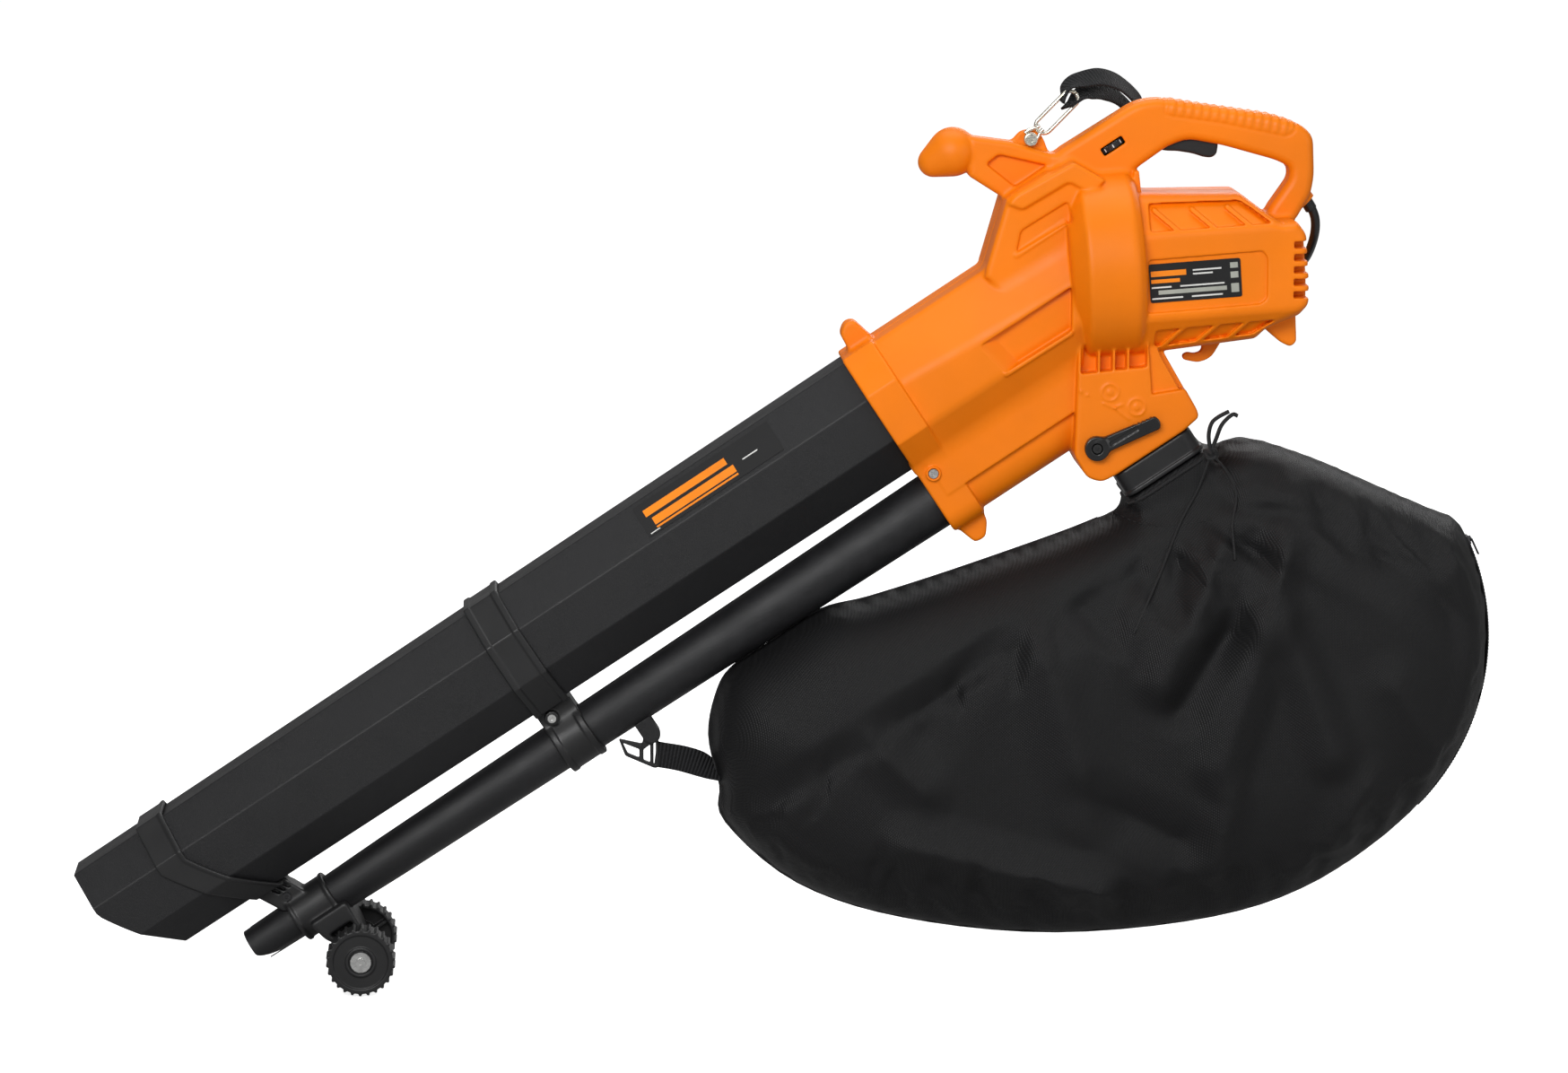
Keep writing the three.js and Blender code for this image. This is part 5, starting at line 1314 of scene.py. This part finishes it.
def solid_copy(obj):
    """The piece as shown, with its modifiers applied, for finding points on its surface."""
    bpy.context.view_layer.update()
    evaluated = obj.evaluated_get(bpy.context.evaluated_depsgraph_get())
    mesh = bpy.data.meshes.new_from_object(evaluated)
    copy = bpy.data.objects.new("probe", mesh)
    bpy.context.scene.collection.objects.link(copy)
    bpy.context.view_layer.update()
    return copy


def add_bag_trims(bag):
    """Hem stitching and side seam of the bag, and its drawstring."""
    probe = solid_copy(bag)
    stitches = []
    hem = curve_through([Vector((x, z)) for x, z in ((4, -229), (30, -234), (60, -233.5), (95, -228))], 12)
    for i in range(0, len(hem) - 1, 2):
        a, z = (surface_point(probe, p.x, p.y, LEFT, 0.4) for p in hem[i : i + 2])
        stitches.append(sweep([a, z], [Vector((0, 0, 1))] * 2, circle(0.5, 6), HEAD))
    seam = curve_through([Vector(p) for p in BAG_OUTLINE[11:]], 5)
    path = []
    for here, after in zip(seam, seam[1:]):
        out = (after - here).normalized() * 2.5
        path.append(Vector((here.x + out.y * -1, 0, here.y + out.x)))
    piping = sweep(path, [Vector((0, 1, 0))] * len(path), circle(1.3, 8), HEAD)
    piece("bag_stitching", joined([*stitches, piping]), "bag", "cord_and_zip")
    add_drawstring(probe)
    bpy.data.objects.remove(probe)


def add_drawstring(probe):
    """Cord round the neck, a knot with two loops, and two loose ends that lie on the cloth."""
    collar = []
    for k in range(41):
        angle = 2 * math.pi * k / 40
        u, y = 45.2 * math.cos(angle), 46.2 * math.sin(angle)
        grow = max(abs(u) / 43, abs(y) / 44)
        collar.append(Vector((u / max(grow, 0.86), y / max(grow, 0.86), -33)))
    ring = sweep(collar, [Vector((0, 0, 1))] * len(collar), circle(1.5, 8), OUTLET)
    knot = [(86, -50, -166), (91, -56, -164), (94, -52, -170), (87, -55, -172), (84, -52, -166),
            (90, -57, -168)]
    loop_a = [(89, -54, -167), (93, -58, -154), (98, -59, -141), (107, -60, -132), (112, -60, -133)]
    loop_b = [(89, -54, -167), (86, -59, -152), (88, -61, -140), (94, -61, -134), (104, -60, -129)]
    parts = [ring, cord_mesh(knot, 2.2, HEAD), cord_mesh(loop_a, 1.9, HEAD), cord_mesh(loop_b, 1.9, HEAD)]
    for track in (
        ((91, -174), (80, -200), (62, -232), (44, -272), (30, -300), (17, -328)),
        ((93, -174), (107, -188), (113, -208), (108, -232), (108, -262)),
    ):
        points = [Vector((89, -56, -168))] + [surface_point(probe, x, z, LEFT, 1.4) for x, z in track[1:]]
        parts.append(cord_mesh(points, 1.1, HEAD))
    piece("neck_cord", joined(parts), "bag", "cord_and_zip", "drawstring")


def arc_point(radius, degrees, y=0.0):
    angle = math.radians(degrees)
    return Vector((ZIP["x"] + radius * math.cos(angle), y, ZIP["z"] + radius * math.sin(angle)))


TOOTH = [(-0.5, -0.7), (0.5, -0.7), (0.5, 0.7), (-0.5, 0.7)]


def add_zip():
    """Zip round the rear edge: two tapes and a row of teeth."""
    span = [ZIP["from"] - 3 + (ZIP["to"] - ZIP["from"] + 2) * k / 60 for k in range(61)]
    tapes = []
    for side in (-1, 1):
        path = [arc_point(ZIP["radius"] + 2.9, angle, side * 3.0) for angle in span]
        tapes.append(sweep(path, [Vector((0, 1, 0))] * len(path), band_section(4.6, 1.2), HEAD))
    teeth = []
    count = 170
    for k in range(count):
        angle = ZIP["from"] - 4 + (ZIP["to"] - ZIP["from"] + 4) * k / count
        side = 0.9 if k % 2 else -0.9
        a, z = (arc_point(ZIP["radius"] + 4.0, angle, side + y) for y in (-1.3, 1.3))
        tooth = sweep([a, z], [Vector((1, 0, 0.2))] * 2, TOOTH, HEAD)
        tooth.materials.append(ZIP_METAL)
        teeth.append(tooth)
    for tape in tapes:
        tape.materials.append(LOOK["cord_and_zip"])
    piece("zip_tape", joined(tapes + teeth), "bag", "cord_and_zip", "bag_zip")


def add_slider():
    """Zip slider with a bridge and a pull tab that hangs along the zip."""
    b = Block((217, -7, -20), (231, 7, 8), 0.5)
    body = extrude(extrude(np.abs(b.x - 222.6) - 1.8, np.abs(b.z) - 4.6, 1), np.abs(b.y) - 4.4, 1)
    bridge = np.maximum(np.abs(b.z) - 2.8, np.abs(b.y) - 1.0)
    body = join(body, extrude(np.abs(b.x - 224.6) - 1.8, bridge, 0.4), 0.5)
    tab = extrude(np.maximum(np.abs(b.z + 8.5) - 8.5, np.abs(b.y) - 3), np.abs(b.x - 226.2) - 0.8, 0.5)
    tab = cut(tab, np.hypot(b.y, b.z + 14) - 1.4, 0.3)
    place = HEAD @ leaning(Vector((ZIP["x"], 0, ZIP["z"])), math.radians(ZIP["from"] - 4))
    piece("zip_slider", mesh_of(b, join(body, tab), place), "zip_pull", "steel", "zip_pull", look=DARK_METAL)


BUCKLE_OUTLINE = [(-30, -5), (-24, -21), (3, -33), (7, -32), (7, -6), (3, -5), (-8, -10)]
BUCKLE_SLOTS = (
    [(-26, -9), (-21.5, -18.5), (-11, -23), (-11, -15)],
    [(-7, -15), (-7, -25), (-1, -27.6), (-1, -10.5)],
    [(2.2, -9), (2.2, -28.8), (4.2, -29.6), (4.2, -8.5)],
)


def add_hook():
    """Plastic hook with an open mouth, hung on the peg under the blower tube, and its strap."""
    peg = HEAD.inverted() @ (TUBE @ Vector((-338, 0, -134)))
    b = Block((-32, -8, -36), (14, 8, 12), 0.55)
    ring = extrude(np.abs(np.hypot(b.x, b.z) - 6.6) - 1.9, np.abs(b.y) - 4, 1)
    way = (-math.sin(TUBE_TILT), math.cos(TUBE_TILT))
    along = b.x * way[0] + b.z * way[1]
    mouth = np.maximum(np.abs(b.x * way[1] - b.z * way[0]) - 4.5, -along)
    ring = cut(ring, mouth, 0.5)
    stem = extrude(polygon(b.x, b.z, [(-7, -4), (4, -8), (2, -18), (-9, -14)], 1), np.abs(b.y) - 3.6, 1)
    loop = extrude(polygon(b.x, b.z, BUCKLE_OUTLINE, 2), np.abs(b.y) - 2.6, 1)
    body = join(join(ring, stem, 2), loop, 1.5)
    for slot in BUCKLE_SLOTS:
        body = cut(body, polygon(b.x, b.z, slot, 1), 0.6)
    body = cut(body, np.hypot(b.x, b.z) - 4.6)
    piece("hook", mesh_of(b, body, HEAD @ Matrix.Translation(peg)), "bag", "black_moulding", "bag_hook")
    x, z = peg.x, peg.z
    stations = [
        (x + 4, 0, z - 20, 0.1, 0.1, 1), (x + 12, -1.5, z - 21, 0.1, 0, 1),
        (x + 28, -2, z - 24, 0.15, 0.1, 1), (x + 44, -2, z - 29, 0.2, 0.35, 0.9),
        (x + 58, -1, z - 36, 0.2, 0.8, 0.5), (x + 74, 0, z - 42, 0.1, 1, 0.2),
        (x + 90, 0, z - 44, 0, 1, 0.1),
    ]
    ribbon("hook_webbing", stations, 24, 1.8, "bag", "bag_strap")


def add_neck_frame():
    """Rigid frame in the bag's mouth: a rim, a deep collar and a spigot that enters the outlet."""
    b = Block((-47, -48, -32), (47, 48, 8), 0.9)
    wide = extrude(np.abs(b.x) - 28.5, np.abs(b.y) - 29.5) - 12
    tall = np.abs(b.z + 15) - 12
    body = extrude(wide, tall, 2)
    lip = extrude(wide - 1.6, np.abs(b.z + 24.6) - 2, 1)
    body = join(body, lip, 1.5)
    spigot = extrude(extrude(np.abs(b.x) - 26, np.abs(b.y) - 27) - 8, np.abs(b.z - 0.5) - 4.5, 1)
    body = join(body, spigot, 1)
    body = cut(body, extrude(np.abs(b.x) - 24.5, np.abs(b.y) - 25.5) - 7, 0.6)
    piece("neck_frame", mesh_of(b, body, OUTLET), "bag", "black_moulding", "bag_frame")


# ---------------------------------------------------------------- stage
VIEW_AZIMUTH, VIEW_ELEVATION = math.radians(-3.3), math.radians(9.3)
VIEW_DISTANCE = 4.85
VIEW_TARGET = Vector((-295.6, 0, -249.6))


def add_light(name, kind, energy, size, place, target, color=(1, 1, 1)):
    light = bpy.data.lights.new(name, kind)
    light.energy = energy
    light.color = color
    if kind == "AREA":
        light.shape = "RECTANGLE"
        light.size, light.size_y = size
    obj = bpy.data.objects.new(name, light)
    bpy.context.scene.collection.objects.link(obj)
    obj.location = place
    obj.rotation_euler = (Vector(target) - Vector(place)).to_track_quat("-Z", "Y").to_euler()


def add_stage():
    floor = bpy.data.meshes.new("floor")
    corners = [(-40, -40, -0.001), (40, -40, -0.001), (40, 40, -0.001), (-40, 40, -0.001)]
    floor.from_pydata(corners, [], [(0, 1, 2, 3)])
    n = Nodes("floor_white")
    seen = n.add("LightPath").outputs["Is Camera Ray"]
    pale = n.mix(n.noise(0.7), (0.86, 0.86, 0.86), (0.9, 0.9, 0.9))
    n.set("Base Color", n.mix(seen, (0.4, 0.4, 0.4), pale))
    n.set("Roughness", 0.9)
    n.set("Emission Color", (1.0, 1.0, 1.0))
    n.set("Emission Strength", n.fade(seen, 0, 1, 0.0, 0.8))
    floor.materials.append(n.material)
    obj = bpy.data.objects.new("floor", floor)
    bpy.context.scene.collection.objects.link(obj)
    world = bpy.data.worlds.new("studio")
    world.use_nodes = True
    sky = world.node_tree.nodes["Background"]
    path = world.node_tree.nodes.new("ShaderNodeLightPath")
    level = world.node_tree.nodes.new("ShaderNodeMapRange")
    level.inputs["To Min"].default_value = 0.26
    level.inputs["To Max"].default_value = 1.0
    sky.inputs["Color"].default_value = (1, 1, 1, 1)
    world.node_tree.links.new(path.outputs["Is Camera Ray"], level.inputs["Value"])
    world.node_tree.links.new(level.outputs["Result"], sky.inputs["Strength"])
    bpy.context.scene.world = world
    add_light("key", "AREA", 86, (2.0, 1.2), (-0.9, -2.9, 1.9), (0.1, 0, 0.45))
    add_light("fill", "AREA", 20, (2.0, 2.0), (2.6, -2.4, 1.3), (0.1, 0, 0.4))
    add_light("top", "AREA", 30, (2.5, 1.5), (0.2, 0.4, 3.0), (0.1, 0, 0.4))
    add_light("rim", "AREA", 22, (2.0, 1.0), (1.2, 2.4, 1.8), (0.1, 0, 0.4))
    bpy.context.scene.view_settings.view_transform = "Standard"


def add_camera():
    camera = bpy.data.cameras.new("camera")
    camera.lens = 121.7
    camera.sensor_width = 36
    camera.clip_end = 100
    obj = bpy.data.objects.new("camera", camera)
    bpy.context.scene.collection.objects.link(obj)
    a, e = VIEW_AZIMUTH, VIEW_ELEVATION
    back = Vector((math.sin(a) * math.cos(e), -math.cos(a) * math.cos(e), math.sin(e)))
    obj.location = HEAD @ VIEW_TARGET + back * VIEW_DISTANCE
    obj.rotation_euler = (-back).to_track_quat("-Z", "Y").to_euler()
    bpy.context.scene.camera = obj


# ---------------------------------------------------------------- assembly
dress_cad_nodes()
add_housing()
add_suction_tubes()
add_blower_tubes()
add_coupling()
add_bracket()
add_wheels()
add_trigger()
add_dial()
add_lever()
add_rating_plate()
add_tube_label()
add_cable()
add_plug()
add_link()
add_shoulder_strap()
add_neck_frame()
bag_piece = add_bag()
add_bag_trims(bag_piece)
add_zip()
add_slider()
add_hook()
add_stage()
add_camera()
